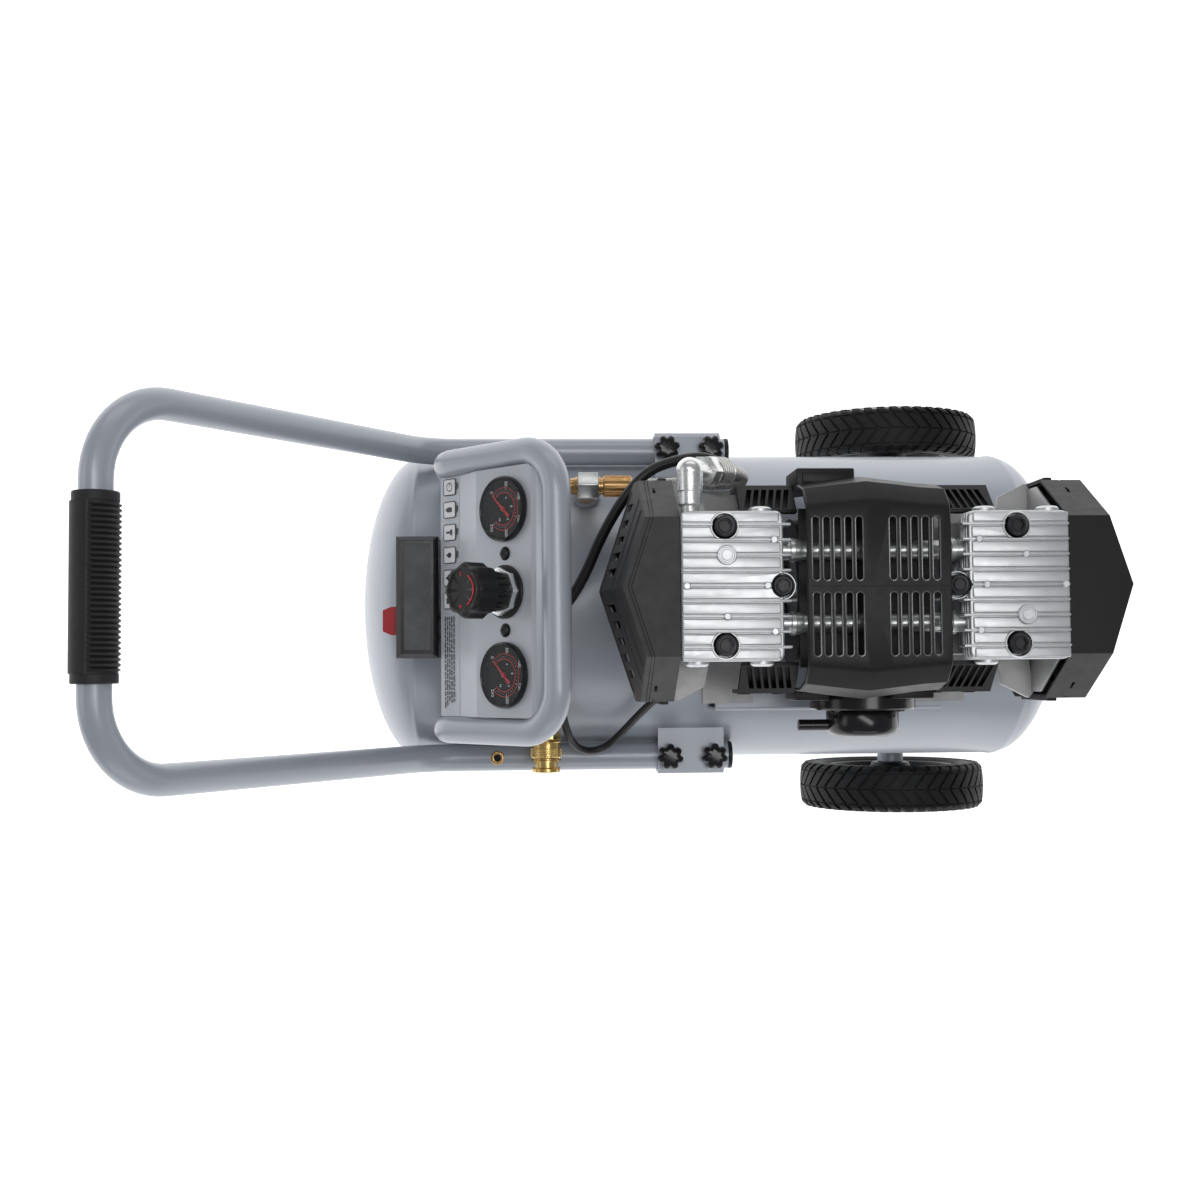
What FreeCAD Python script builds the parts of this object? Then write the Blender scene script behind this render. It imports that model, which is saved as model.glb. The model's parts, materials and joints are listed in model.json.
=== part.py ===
"""Twin-cylinder oil-free air compressor on a horizontal tank with two wheels and a tube handle.

Frame: +X runs from the handle end to the pump and wheel end, +Y to the side of the check valve,
+Z up.  The origin is at the middle of the machine, on the floor.  Lengths are in millimetres.
Left is +Y and right is -Y, as seen by a person who holds the handle and faces the machine.
"""
import FreeCAD, Part
import math
import os
import re

Vector = FreeCAD.Vector
Rotation = FreeCAD.Rotation
Placement = FreeCAD.Placement

doc = FreeCAD.newDocument("air_compressor")

SIZES = {
    # tank
    "tank_radius": 147, "tank_length": 668, "tank_middle": 86.5, "tank_axis": 263,
    "tank_wall": 3, "dome_depth": 56,
    # wheels and axle
    "wheel_radius": 99, "wheel_width": 47, "wheel_inside": 166, "wheel_place": 309,
    "hub_radius": 70, "axle_radius": 8,
    # handle
    "tube_radius": 12.5, "tube_side": 142.5, "tube_height": 337, "tube_end": 95,
    "handle_knee": -182, "grip_place": -402, "grip_height": 631, "handle_corner": 64,
    "knee_bend": 60, "tube_wall": 1.6, "grip_length": 139, "grip_radius": 18.5,
    "bracket_start": 29, "bracket_length": 61, "bracket_sheet": 3, "bracket_gap": 0.4,
    "knob_radius": 12, "knob_first": 39, "knob_second": 80,
    # guard hoop and control panel
    "hoop_radius": 11, "hoop_side": 111, "hoop_foot": -158, "hoop_knee": 478,
    "hoop_bar": -67.5, "hoop_top": 575, "panel_tilt": 47, "panel_sheet": 1.5,
    "panel_half_width": 99.8, "gauge_place": -108, "gauge_height": 541, "gauge_side": 66,
    "gauge_radius": 26.3, "regulator_radius": 18.4, "regulator_knob_radius": 21.5,
    # pump
    "pump_middle": 174.5, "motor_axis": 510, "head_top": 607, "head_bottom": 584,
    "head_outer": 149, "head_inner": 60, "head_half_width": 57, "cylinder_place": 108.5,
    "bore_radius": 30, "crank_throw": 9, "cover_half_length": 55, "shroud_half_width": 88,
    "shroud_top": 603, "fan_radius": 74, "saddle_top": 421, "mount_top": 435,
}

sheet = doc.addObject("Spreadsheet::Sheet", "Dimensions")
for row, (alias, value) in enumerate(SIZES.items(), start=1):
    sheet.set(f"A{row}", alias)
    sheet.set(f"B{row}", str(value))
    sheet.setAlias(f"B{row}", alias)
doc.recompute()


# ---------------------------------------------------------------- helpers

def linked(expression):
    """Turn the names in an expression into links to the spreadsheet."""
    return re.sub(r"[a-z_]+", lambda m: f"Dimensions.{m[0]}" if m[0] in SIZES else m[0],
                  str(expression))


def bind(item, prop, expression):
    item.setExpression(prop, linked(expression))


def move(item, place):
    """Bind the placement of an object to three expressions."""
    for axis, expression in zip("xyz", place):
        bind(item, f"Placement.Base.{axis}", expression)
    return item


def new(kind, name):
    item = doc.addObject(kind, name)
    item.Label = name
    return item


def box(name, size, corner):
    item = new("Part::Box", name)
    for prop, expression in zip(("Length", "Width", "Height"), size):
        bind(item, prop, expression)
    return move(item, corner)


TURNS = {
    "Z": Rotation(),
    "X": Rotation(Vector(0, 1, 0), 90),
    "Y": Rotation(Vector(1, 0, 0), -90),
}


def cylinder(name, radius, length, base, axis="Z"):
    item = new("Part::Cylinder", name)
    bind(item, "Radius", radius)
    bind(item, "Height", length)
    item.Placement = Placement(Vector(), TURNS[axis])
    return move(item, base)


def cone(name, radius_a, radius_b, length, base, axis="Z"):
    item = new("Part::Cone", name)
    bind(item, "Radius1", radius_a)
    bind(item, "Radius2", radius_b)
    bind(item, "Height", length)
    item.Placement = Placement(Vector(), TURNS[axis])
    return move(item, base)


def nut(name, radius, length, base, axis="Z", sides=6):
    item = new("Part::Prism", name)
    item.Polygon = sides
    bind(item, "Circumradius", radius)
    bind(item, "Height", length)
    item.Placement = Placement(Vector(), TURNS[axis])
    return move(item, base)


def ball(name, radius, centre):
    item = new("Part::Sphere", name)
    bind(item, "Radius", radius)
    return move(item, centre)


def fuse(name, *shapes):
    item = new("Part::MultiFuse", name)
    item.Shapes = list(shapes)
    item.Refine = False
    return item


def together(name, *shapes):
    """Keep separate solids side by side in one sub-part."""
    item = new("Part::Compound", name)
    item.Links = list(shapes)
    return item


def common(name, *shapes):
    item = new("Part::MultiCommon", name)
    item.Shapes = list(shapes)
    return item


def cut(name, base, *tools):
    item = new("Part::Cut", name)
    item.Base = base
    item.Tool = tools[0] if len(tools) == 1 else together(f"{name}_tools", *tools)
    return item


def copy_of(name, source, place=("0", "0", "0"), turn=0):
    """A second piece of the same shape, moved and turned about Z."""
    item = new("Part::Compound", name)
    item.Links = [source]
    item.Placement = Placement(Vector(), Rotation(Vector(0, 0, 1), turn))
    return move(item, place)


PLANES = {"XY": "XY_Plane", "XZ": "XZ_Plane", "YZ": "YZ_Plane"}


def outline(body, plane, corners):
    """A closed sketch of straight lines; every corner is bound to the spreadsheet."""
    sketch = body.newObject("Sketcher::SketchObject", f"{body.Name}_outline")
    origin = body.Origin.OriginFeatures
    sketch.AttachmentSupport = [(next(f for f in origin if f.Role == PLANES[plane]), "")]
    sketch.MapMode = "FlatFace"
    count = len(corners)
    ring = [Vector(math.cos(2 * math.pi * i / count), math.sin(2 * math.pi * i / count), 0)
            for i in range(count)]
    for i in range(count):
        sketch.addGeometry(Part.LineSegment(ring[i], ring[(i + 1) % count]), False)
    import Sketcher
    for i in range(count):
        sketch.addConstraint(Sketcher.Constraint("Coincident", i, 2, (i + 1) % count, 1))
    for i, (across, upward) in enumerate(corners):
        for kind, start, expression in (("DistanceX", ring[i].x, across),
                                        ("DistanceY", ring[i].y, upward)):
            index = sketch.addConstraint(Sketcher.Constraint(kind, -1, 1, i, 1, start))
            bind(sketch, f"Constraints[{index}]", expression)
    return sketch


def plate(name, plane, corners, thickness, place=("0", "0", "0"), centred=False):
    """A PartDesign body: an outline padded along the plane's own +X, +Y or +Z direction."""
    body = new("PartDesign::Body", name)
    sketch = outline(body, plane, corners)
    pad = body.newObject("PartDesign::Pad", f"{name}_pad")
    pad.Profile = sketch
    bind(pad, "Length", thickness)
    pad.Reversed = plane == "XZ"
    pad.Midplane = centred
    body.Tip = pad
    return move(body, place)


def turned(name, corners, place, plane="XZ"):
    """A PartDesign body turned about the X axis of the sketch plane."""
    body = new("PartDesign::Body", name)
    sketch = outline(body, plane, corners)
    turn = body.newObject("PartDesign::Revolution", f"{name}_turn")
    turn.Profile = sketch
    turn.ReferenceAxis = (sketch, ["H_Axis"])
    turn.Angle = 360
    body.Tip = turn
    return move(body, place)


def rounded_path(points, radii):
    """Straight runs joined by tangent arcs, one radius for each inner point."""
    edges = []
    start = points[0]
    for before, corner, after, radius in zip(points, points[1:], points[2:], radii):
        incoming = (corner - before).normalize()
        outgoing = (after - corner).normalize()
        half_turn = incoming.getAngle(outgoing) / 2
        reach = radius * math.tan(half_turn)
        first = corner - incoming * reach
        last = corner + outgoing * reach
        inward = (outgoing - incoming).normalize()
        middle = corner + inward * (radius / math.cos(half_turn) - radius)
        edges.append(Part.LineSegment(start, first).toShape())
        edges.append(Part.Arc(first, middle, last).toShape())
        start = last
    edges.append(Part.LineSegment(start, points[-1]).toShape())
    return Part.Wire(edges)


def swept(path, radius):
    """A round bar along a path."""
    start = path.Vertexes[0].Point
    along = path.Edges[0].tangentAt(path.Edges[0].FirstParameter)
    ring = Part.Wire(Part.makeCircle(radius, start, along))
    return path.makePipeShell([ring], True, False)


def shaped(name, shape):
    item = new("Part::Feature", name)
    item.Shape = shape
    return item


def value(alias):
    return float(sheet.get(alias))


def tilted(item, place):
    """Stand an object on the sloping panel: its own Z becomes the panel's outward normal."""
    item.Placement = Placement(Vector(), Rotation(Vector(0, 1, 0), -value("panel_tilt")))
    return move(item, place)


# ---------------------------------------------------------------- tank

tank_start = "tank_middle - tank_length / 2 + dome_depth"
tank_run = "tank_length - 2 * dome_depth"


def dome(name, radius, depth, side):
    """One half of an ellipsoid, closing the tank at the given side."""
    item = new("Part::Ellipsoid", name)
    bind(item, "Radius1", radius)
    bind(item, "Radius2", depth)
    bind(item, "Radius3", radius)
    item.Angle1 = -90
    item.Angle2 = 90
    return move(item, (f"tank_middle + {side} * (tank_length / 2 - dome_depth)", "0",
                       "tank_axis"))


def tank_body(name, inset):
    return fuse(
        name,
        cylinder(f"{name}_run", f"tank_radius - {inset}", tank_run, (tank_start, "0", "tank_axis"),
                 "X"),
        dome(f"{name}_dome_a", f"tank_radius - {inset}", f"dome_depth - {inset}", -1),
        dome(f"{name}_dome_b", f"tank_radius - {inset}", f"dome_depth - {inset}", 1))


CHECK_VALVE = (-37, 97.6)
SAFETY_VALVE = (-118, -62)
DRAIN_PLACE = 40
RISER_PLACE = -78.7

tank_bosses = [
    cylinder("check_boss", 13, 22, (CHECK_VALVE[0], CHECK_VALVE[1], 364)),
    cylinder("safety_boss", 12, 20, (SAFETY_VALVE[0], SAFETY_VALVE[1], 384)),
    cylinder("riser_boss", 14, 14, (RISER_PLACE, 0, 402)),
    cylinder("drain_boss", 12, 10, (DRAIN_PLACE, 0, 112)),
]
tank_solid = tank_body("tank_solid", 0)
air_tank = cut("air_tank", fuse("tank_with_bosses", tank_solid, *tank_bosses),
               tank_body("tank_space", "tank_wall"))

# ---------------------------------------------------------------- wheels, axle and feet

wheel_axle = cylinder("wheel_axle", "axle_radius", "2 * (wheel_inside + wheel_width) - 3",
                      ("wheel_place", "-(wheel_inside + wheel_width) + 1.5", "wheel_radius"), "Y")


def axle_bracket(name, side):
    """A plate welded to the tank's flank, with a bush for the axle and a spacer to the hub."""
    inner = 138
    thickness = 4
    near = inner if side > 0 else -inner - thickness
    sheet_plate = plate(f"{name}_sheet", "XZ",
                        [("wheel_place - 52", 232), ("wheel_place + 52", 232),
                         ("wheel_place + 20", 82), ("wheel_place - 20", 82)],
                        thickness, (0, near, 0))
    bush_start = inner if side > 0 else "-(wheel_inside - 0.5)"
    bush = cylinder(f"{name}_bush", 14, f"wheel_inside - 0.5 - {inner}",
                    ("wheel_place", bush_start, "wheel_radius"), "Y")
    bore = cylinder(f"{name}_bore", "axle_radius + 0.05", 2 * 180,
                    ("wheel_place", -180, "wheel_radius"), "Y")
    return cut(name, fuse(f"{name}_solid", sheet_plate, bush), tank_solid, bore)


axle_brackets = together("axle_brackets", axle_bracket("axle_bracket_left", 1),
                         axle_bracket("axle_bracket_right", -1))

for side_name, side in (("left", 1), ("right", -1)):
    inner = "wheel_inside" if side > 0 else "-(wheel_inside + wheel_width)"
    tyre_profile = [(0, "hub_radius"), ("wheel_width", "hub_radius"),
                    ("wheel_width", "wheel_radius - 5"), ("wheel_width - 1.6", "wheel_radius - 1.6"),
                    ("wheel_width - 5", "wheel_radius"), (5, "wheel_radius"),
                    (1.6, "wheel_radius - 1.6"), (0, "wheel_radius - 5")]
    tyre = turned(f"tyre_{side_name}", tyre_profile, ("wheel_place", inner, "wheel_radius"))
    tyre.Placement = Placement(Vector(), Rotation(Vector(0, 0, 1), 90))
    move(tyre, ("wheel_place", inner, "wheel_radius"))
    hub_profile = [(0, "axle_radius + 0.1"), ("wheel_width", "axle_radius + 0.1"),
                   ("wheel_width", 20), ("wheel_width - 14", 26), ("wheel_width - 14", 58),
                   ("wheel_width - 3", 62), ("wheel_width - 3", "hub_radius"),
                   (3, "hub_radius"), (3, 62), (14, 58), (14, 26), (0, 20)]
    hub = turned(f"hub_{side_name}", hub_profile, ("wheel_place", inner, "wheel_radius"))
    hub.Placement = Placement(Vector(), Rotation(Vector(0, 0, 1), 90))
    move(hub, ("wheel_place", inner, "wheel_radius"))

FOOT_PLACE = -150
foot_outer = box("foot_outer", (34, 204, 140), (FOOT_PLACE - 17, -102, 24))
foot_inner = box("foot_inner", (40, 196, 140), (FOOT_PLACE - 20, -98, 28))
foot_bracket = cut("foot_bracket", foot_outer, foot_inner, tank_solid)
rubber_feet = together(
    "rubber_feet",
    *[cone(f"rubber_foot_{i}", 18, 15, 24, (FOOT_PLACE, side * 80, 0))
      for i, side in enumerate((1, -1))])

# ---------------------------------------------------------------- handle and its brackets

knee = Vector(value("handle_knee"), 0, value("tube_height"))
bar = Vector(value("grip_place"), 0, value("grip_height"))


def side_shift(side):
    return Vector(0, side * value("tube_side"), 0)


handle_path = rounded_path(
    [Vector(value("tube_end"), value("tube_side"), value("tube_height")),
     knee + side_shift(1), bar + side_shift(1), bar + side_shift(-1), knee + side_shift(-1),
     Vector(value("tube_end"), -value("tube_side"), value("tube_height"))],
    [value("knee_bend"), value("handle_corner"), value("handle_corner"), value("knee_bend")])
handle_solid = swept(handle_path, value("tube_radius"))
handle_space = swept(handle_path, value("tube_radius") - value("tube_wall"))
STORED_HOLE = -119
HANDLE_HOLES = [(value("knob_first"), 1), (value("knob_second"), 1), (value("knob_first"), -1),
                (value("knob_second"), -1), (STORED_HOLE, -1)]
hole_tools = [Part.makeCylinder(3.6, 8, Vector(place, side * value("tube_side"),
                                              value("tube_height") + 6))
              for place, side in HANDLE_HOLES]
handle_tube = shaped("handle_tube", handle_solid.cut([handle_space] + hole_tools))

grip_solid = cylinder("grip_solid", "grip_radius", "grip_length",
                      ("grip_place", "-grip_length / 2", "grip_height"), "Y")
grip_bore = cylinder("grip_bore", "tube_radius + 0.01", "grip_length + 2",
                     ("grip_place", "-grip_length / 2 - 1", "grip_height"), "Y")
handle_grip = cut("handle_grip", grip_solid, grip_bore)

handle_end_plugs = together(
    "handle_end_plugs",
    *[fuse(f"end_plug_{i}",
           cylinder(f"end_plug_cap_{i}", "tube_radius", 4,
                    ("tube_end", f"{side} * tube_side", "tube_height"), "X"),
           cylinder(f"end_plug_stem_{i}", "tube_radius - tube_wall - 0.05", 12,
                    ("tube_end - 12", f"{side} * tube_side", "tube_height"), "X"))
      for i, side in enumerate((1, -1))])


def handle_bracket(name, side):
    """A folded channel over the handle tube, welded to the tank's flank."""
    inside = "tube_side + tube_radius + bracket_gap"
    top = "tube_height + tube_radius + bracket_gap"
    bottom = "tube_height - tube_radius - bracket_gap"
    near = 100
    corners = [(near, f"{bottom} - bracket_sheet"), (f"{inside} + bracket_sheet - 4",
                                                     f"{bottom} - bracket_sheet"),
               (f"{inside} + bracket_sheet", f"{bottom} - bracket_sheet + 4"),
               (f"{inside} + bracket_sheet", f"{top} + bracket_sheet - 4"),
               (f"{inside} + bracket_sheet - 4", f"{top} + bracket_sheet"),
               (near, f"{top} + bracket_sheet"), (near, top), (inside, top),
               (inside, bottom), (near, bottom)]
    corners = [(f"{side} * ({across})", upward) for across, upward in corners]
    channel = plate(f"{name}_channel", "YZ", corners, "bracket_length",
                    ("bracket_start", 0, 0))
    holes = [cylinder(f"{name}_hole_{i}", 4.2, 12,
                      (place, f"{side} * tube_side", f"{top} - 2"))
             for i, place in enumerate(("knob_first", "knob_second"))]
    return cut(name, channel, tank_solid, *holes)


handle_brackets = together("handle_brackets", handle_bracket("handle_bracket_left", 1),
                           handle_bracket("handle_bracket_right", -1))


def star_knob(name, place, side):
    """A seven-lobed clamping knob whose stud presses on the handle tube."""
    top = "tube_height + tube_radius + bracket_gap + bracket_sheet"
    height = 15
    core = cylinder(f"{name}_core", "knob_radius - 2", height, (0, 0, 1.2))
    lobes = []
    for i in range(7):
        angle = 360 / 7 * i
        across = f"(knob_radius - 3) * {math.cos(math.radians(angle)):.5f}"
        along = f"(knob_radius - 3) * {math.sin(math.radians(angle)):.5f}"
        lobes.append(cylinder(f"{name}_lobe_{i}", 3, height, (across, along, 1.2)))
    collar = cylinder(f"{name}_collar", 6.5, 1, (0, 0, 0.2))
    stud = cylinder(f"{name}_stud", 3.9, 3.4, (0, 0, "-bracket_sheet"))
    knob = fuse(name, core, collar, stud, *lobes)
    return move(knob, (place, f"{side} * tube_side", top))


KNOBS = {}
for side_name, side in (("left", 1), ("right", -1)):
    for end_name, place in (("front", "knob_first"), ("rear", "knob_second")):
        knob_name = f"star_knob_{end_name}_{side_name}"
        KNOBS[knob_name] = star_knob(knob_name, place, side)

# ---------------------------------------------------------------- guard hoop

hoop_foot = Vector(value("hoop_foot"), 0, value("hoop_knee"))
hoop_bar = Vector(value("hoop_bar"), 0, value("hoop_top"))
hoop_shift = Vector(0, value("hoop_side"), 0)
hoop_path = rounded_path(
    [Vector(value("hoop_foot"), value("hoop_side"), 330), hoop_foot + hoop_shift,
     hoop_bar + hoop_shift, hoop_bar - hoop_shift, hoop_foot - hoop_shift,
     Vector(value("hoop_foot"), -value("hoop_side"), 330)],
    [28, 36, 36, 28])
hoop_wall = 1.8
hoop_shape = swept(hoop_path, value("hoop_radius")).cut(
    swept(hoop_path, value("hoop_radius") - hoop_wall))
tank_round = Part.makeCylinder(value("tank_radius"), 600, Vector(-240, 0, value("tank_axis")),
                               Vector(1, 0, 0))
guard_hoop = shaped("guard_hoop", hoop_shape.cut(tank_round))

# ---------------------------------------------------------------- control panel

tilt = math.radians(value("panel_tilt"))


def up_the_slope(distance):
    """A point on the gauge plate, measured along the slope from the gauge centres."""
    return (value("gauge_place") + distance * math.cos(tilt),
            value("gauge_height") + distance * math.sin(tilt))


PANEL_LINE = [(-163, 462), (-163, 471), (-147, 488.5), up_the_slope(-35), up_the_slope(30),
              (-82.5, 565.5), (-80.5, 564), (-80.5, 557)]


def folded_outline(line, thickness):
    """The section of a folded sheet: the outer line and its inward offset."""
    inner = []
    for i, point in enumerate(line):
        before = Vector(*line[max(i - 1, 0)], 0)
        after = Vector(*line[min(i + 1, len(line) - 1)], 0)
        here = Vector(*point, 0)
        normals = []
        for start, end in ((before, here), (here, after)):
            if (end - start).Length > 0:
                run = (end - start).normalize()
                normals.append(Vector(run.y, -run.x, 0))
        direction = sum(normals, Vector()).normalize()
        spread = max(direction.dot(normals[0]), 0.5)
        inner.append(here + direction * (thickness / spread))
    return list(line) + [(p.x, p.y) for p in reversed(inner)]


panel_sheet = plate("panel_sheet", "XZ", folded_outline(PANEL_LINE, value("panel_sheet")),
                    "2 * panel_half_width", (0, "-panel_half_width", 0))
GAUGES = {"tank": ("gauge_place", "gauge_side", "gauge_height"),
          "outlet": ("gauge_place", "-gauge_side", "gauge_height")}
REGULATOR = ("gauge_place", "0", "gauge_height")
panel_holes = []
for gauge_name, place in GAUGES.items():
    hole = cylinder(f"{gauge_name}_gauge_hole", "gauge_radius - 3.1", 30, (0, 0, 0))
    panel_holes.append(tilted(together(f"{gauge_name}_gauge_way", move(hole, (0, 0, -15))), place))
way = move(cylinder("regulator_hole", "regulator_radius - 2.4", 30, (0, 0, 0)), (0, 0, -15))
panel_holes.append(tilted(together("regulator_way", way), REGULATOR))
hoop_clearance = shaped("hoop_clearance", swept(hoop_path, value("hoop_radius") + 0.4))
control_panel = cut("control_panel", panel_sheet, hoop_clearance, *panel_holes)

SCREW_SIDE = 30.5
screw_heads = []
for i, side in enumerate((1, -1)):
    head = cone(f"panel_screw_{i}_head", 4.6, 3.4, 2.2, (0, 0, 0.15))
    slots = [box(f"panel_screw_{i}_slot_{j}", size, corner)
             for j, (size, corner) in enumerate([((5, 1, 2), (-2.5, -0.5, 1)),
                                                 ((1, 5, 2), (-0.5, -2.5, 1))])]
    screw_heads.append(tilted(cut(f"panel_screw_{i}", head, *slots),
                              ("gauge_place", side * SCREW_SIDE, "gauge_height")))
panel_screws = together("panel_screws", *screw_heads)


def gauge_case(name, place):
    """A dial case: bezel on the panel, barrel behind it, stem to the manifold."""
    solid = fuse(f"{name}_solid",
                 cylinder(f"{name}_bezel", "gauge_radius", 5, (0, 0, 0.15)),
                 cylinder(f"{name}_barrel", "gauge_radius - 3.3", 24.2, (0, 0, -24)),
                 cylinder(f"{name}_stem", 6, 4, (0, 0, -27.9)))
    dial_space = cylinder(f"{name}_dial_space", "gauge_radius - 2.3", 6, (0, 0, 1.2))
    return tilted(cut(name, solid, dial_space), place)


gauge_cases = together("gauge_cases", *[gauge_case(f"{key}_gauge_case", place)
                                        for key, place in GAUGES.items()])
gauge_lenses = together(
    "gauge_lenses",
    *[tilted(together(f"{key}_lens", cylinder(f"{key}_lens_disc", "gauge_radius - 2.4", 1.1,
                                          (0, 0, 4.0))), place)
      for key, place in GAUGES.items()])


NEEDLE_REST = 137.0


def gauge_needle(name, place):
    """A pointer that rests at the dial's zero, below and to the left of the pivot."""
    pivot = cylinder(f"{name}_pivot", 2.4, 1.6, (0, 0, 1.5))
    pointer = plate(f"{name}_pointer", "XY", [(-7, -1.3), (-7, 1.3), (0, 1), (18, 0.3),
                                              (18, -0.3), (0, -1)], 0.6, (0, 0, 2.2))
    pointer.Placement = Placement(Vector(), Rotation(Vector(0, 0, 1), NEEDLE_REST))
    move(pointer, (0, 0, 2.2))
    return tilted(fuse(name, pivot, pointer), place)


for key, place in GAUGES.items():
    gauge_needle(f"{key}_gauge_needle", place)

# ---------------------------------------------------------------- regulator

ribs = []
for i in range(16):
    angle = 2 * math.pi * i / 16
    across = f"(regulator_radius - 3.4) * {math.cos(angle):.5f}"
    along = f"(regulator_radius - 3.4) * {math.sin(angle):.5f}"
    ribs.append(cylinder(f"regulator_rib_{i}", 1.2, 14, (across, along, 9)))
regulator_solid = fuse(
    "regulator_solid",
    cylinder("regulator_flange", 23.3, 2, (0, 0, 0.15)),
    cylinder("regulator_neck", "regulator_radius - 2.6", 35, (0, 0, -26)),
    cylinder("regulator_barrel", "regulator_radius - 3.4", 14.5, (0, 0, 8.5)),
    *ribs)
regulator_body = tilted(
    cut("regulator_body", regulator_solid,
        cylinder("regulator_spindle_way", 5.3, 16, (0, 0, 10))), REGULATOR)
regulator_nut = tilted(
    cut("regulator_nut", nut("regulator_nut_solid", 19.4, 6.2, (0, 0, 2.2), sides=8),
        cylinder("regulator_nut_bore", "regulator_radius - 2.6", 8, (0, 0, 1.5))), REGULATOR)
knob_lobes = []
for i in range(8):
    angle = 2 * math.pi * i / 8
    across = f"(regulator_knob_radius - 4.5) * {math.cos(angle):.5f}"
    along = f"(regulator_knob_radius - 4.5) * {math.sin(angle):.5f}"
    knob_lobes.append(cylinder(f"regulator_lobe_{i}", 5.2, 20, (across, along, 24)))
regulator_knob = tilted(
    fuse("regulator_knob",
         cylinder("regulator_knob_core", "regulator_knob_radius - 1.5", 21, (0, 0, 24)),
         cylinder("regulator_spindle", 5, 13, (0, 0, 11.5)), *knob_lobes), REGULATOR)

# ---------------------------------------------------------------- manifold and outlet

manifold_block = tilted(
    fuse("manifold_block", box("manifold_bar", (22, 150, 22), (-11, -75, -50)),
         cylinder("manifold_regulator_seat", 10, 4, (0, 0, -30))), REGULATOR)
riser = cylinder("tank_riser", 8, 84, (RISER_PLACE, 0, 416))
air_manifold = cut("air_manifold", fuse("manifold_solid", manifold_block, riser),
                   tilted(fuse("manifold_clearance",
                               cylinder("manifold_regulator_clearance", 16, 3.9, (0, 0, -28)),
                               cylinder("manifold_regulator_gap", "regulator_radius - 2.6", 2,
                                        (0, 0, -26))), REGULATOR))

COUPLER = (-74.5, 380)
manifold_middle = Vector(value("gauge_place") + 39 * math.sin(tilt), 0,
                         value("gauge_height") - 39 * math.cos(tilt))
outlet_path = rounded_path(
    [Vector(COUPLER[0], -118, COUPLER[1]), Vector(COUPLER[0], -104, COUPLER[1]),
     Vector(manifold_middle.x, -104, manifold_middle.z),
     Vector(manifold_middle.x, -75.1, manifold_middle.z)], [10, 14])
outlet_pipe = shaped("outlet_pipe", swept(outlet_path, 6.5))
PLUG_BORE = 5.6
coupler_solid = fuse(
    "coupler_solid", outlet_pipe,
    nut("coupler_hex", 13, 10, (COUPLER[0], -118, COUPLER[1]), "Y"),
    cylinder("coupler_core", 10.4, 36, (COUPLER[0], -153.8, COUPLER[1]), "Y"),
    cylinder("coupler_nose", 12.6, 4, (COUPLER[0], -153.8, COUPLER[1]), "Y"))
coupler_body = cut("coupler_body", coupler_solid,
                   cylinder("plug_bore", PLUG_BORE, 24, (COUPLER[0], -153.8, COUPLER[1]), "Y"))
sleeve_tools = [cylinder("sleeve_bore", 10.7, 30, (COUPLER[0], -150, COUPLER[1]), "Y")]
coupler_sleeve = cut(
    "coupler_sleeve",
    fuse("sleeve_solid",
         cylinder("sleeve_barrel", 13.4, 20, (COUPLER[0], -144, COUPLER[1]), "Y"),
         cylinder("sleeve_ring_a", 14.2, 3, (COUPLER[0], -127, COUPLER[1]), "Y"),
         cylinder("sleeve_ring_b", 14.2, 9, (COUPLER[0], -141, COUPLER[1]), "Y")),
    *sleeve_tools)

# ---------------------------------------------------------------- pressure switch

switch_shell = plate("switch_shell", "XZ",
                     [(-200.5, 413), (-165.5, 413), (-165.5, 468), (-169.5, 472),
                      (-196.5, 472), (-200.5, 468)], 102, (0, -51, 0))
SWITCH_KNOB = (-19.5, 450)
pressure_switch = cut(
    "pressure_switch", switch_shell,
    cylinder("switch_stem_way", 4.3, 30, (-202, SWITCH_KNOB[0], SWITCH_KNOB[1]), "X"))
switch_knob = fuse(
    "switch_knob",
    plate("switch_knob_head", "XY", [(-213, -9), (-213, 9), (-206, 12), (-200.8, 12),
                                     (-200.8, -12), (-206, -12)], 15,
          (0, SWITCH_KNOB[0], SWITCH_KNOB[1] - 7.5)),
    cylinder("switch_stem", 4, 20, (-201, SWITCH_KNOB[0], SWITCH_KNOB[1]), "X"))

# ---------------------------------------------------------------- valves on the tank

check_x, check_y = CHECK_VALVE
CHECK_HEIGHT = 435
check_valve = fuse(
    "check_valve",
    cylinder("check_body", 9.5, CHECK_HEIGHT - 386, (check_x, check_y, 386)),
    nut("check_nut", 13, 18.2, (check_x - 9.4, check_y, CHECK_HEIGHT), "X"),
    cylinder("check_cap", 7.2, 6.6, (check_x - 16, check_y, CHECK_HEIGHT), "X"),
    cylinder("check_bleeder", 3, 4, (check_x - 20, check_y, CHECK_HEIGHT), "X"),
    cylinder("check_outlet", 7.8, 5, (check_x + 8.8, check_y, CHECK_HEIGHT), "X"),
    cylinder("hose_end_ferrule", 9.2, 25, (check_x + 13, check_y, CHECK_HEIGHT), "X"))

safety_x, safety_y = SAFETY_VALVE
safety_valve_body = cut(
    "safety_valve_body",
    fuse("safety_solid",
         nut("safety_hex", 10, 9, (safety_x, safety_y, 404)),
         cylinder("safety_barrel", 7, 24, (safety_x, safety_y, 413))),
    cylinder("safety_bore", 2.3, 20, (safety_x, safety_y, 419)))
ring = new("Part::Torus", "safety_pull")
ring.Radius1 = 8
ring.Radius2 = 1.2
ring.Placement = Placement(Vector(), Rotation(Vector(1, 0, 0), 90))
move(ring, (safety_x, safety_y, 448.5))
safety_ring = fuse("safety_ring", ring,
                   cylinder("safety_stem", 2, 20, (safety_x, safety_y, 421.5)))

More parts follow.
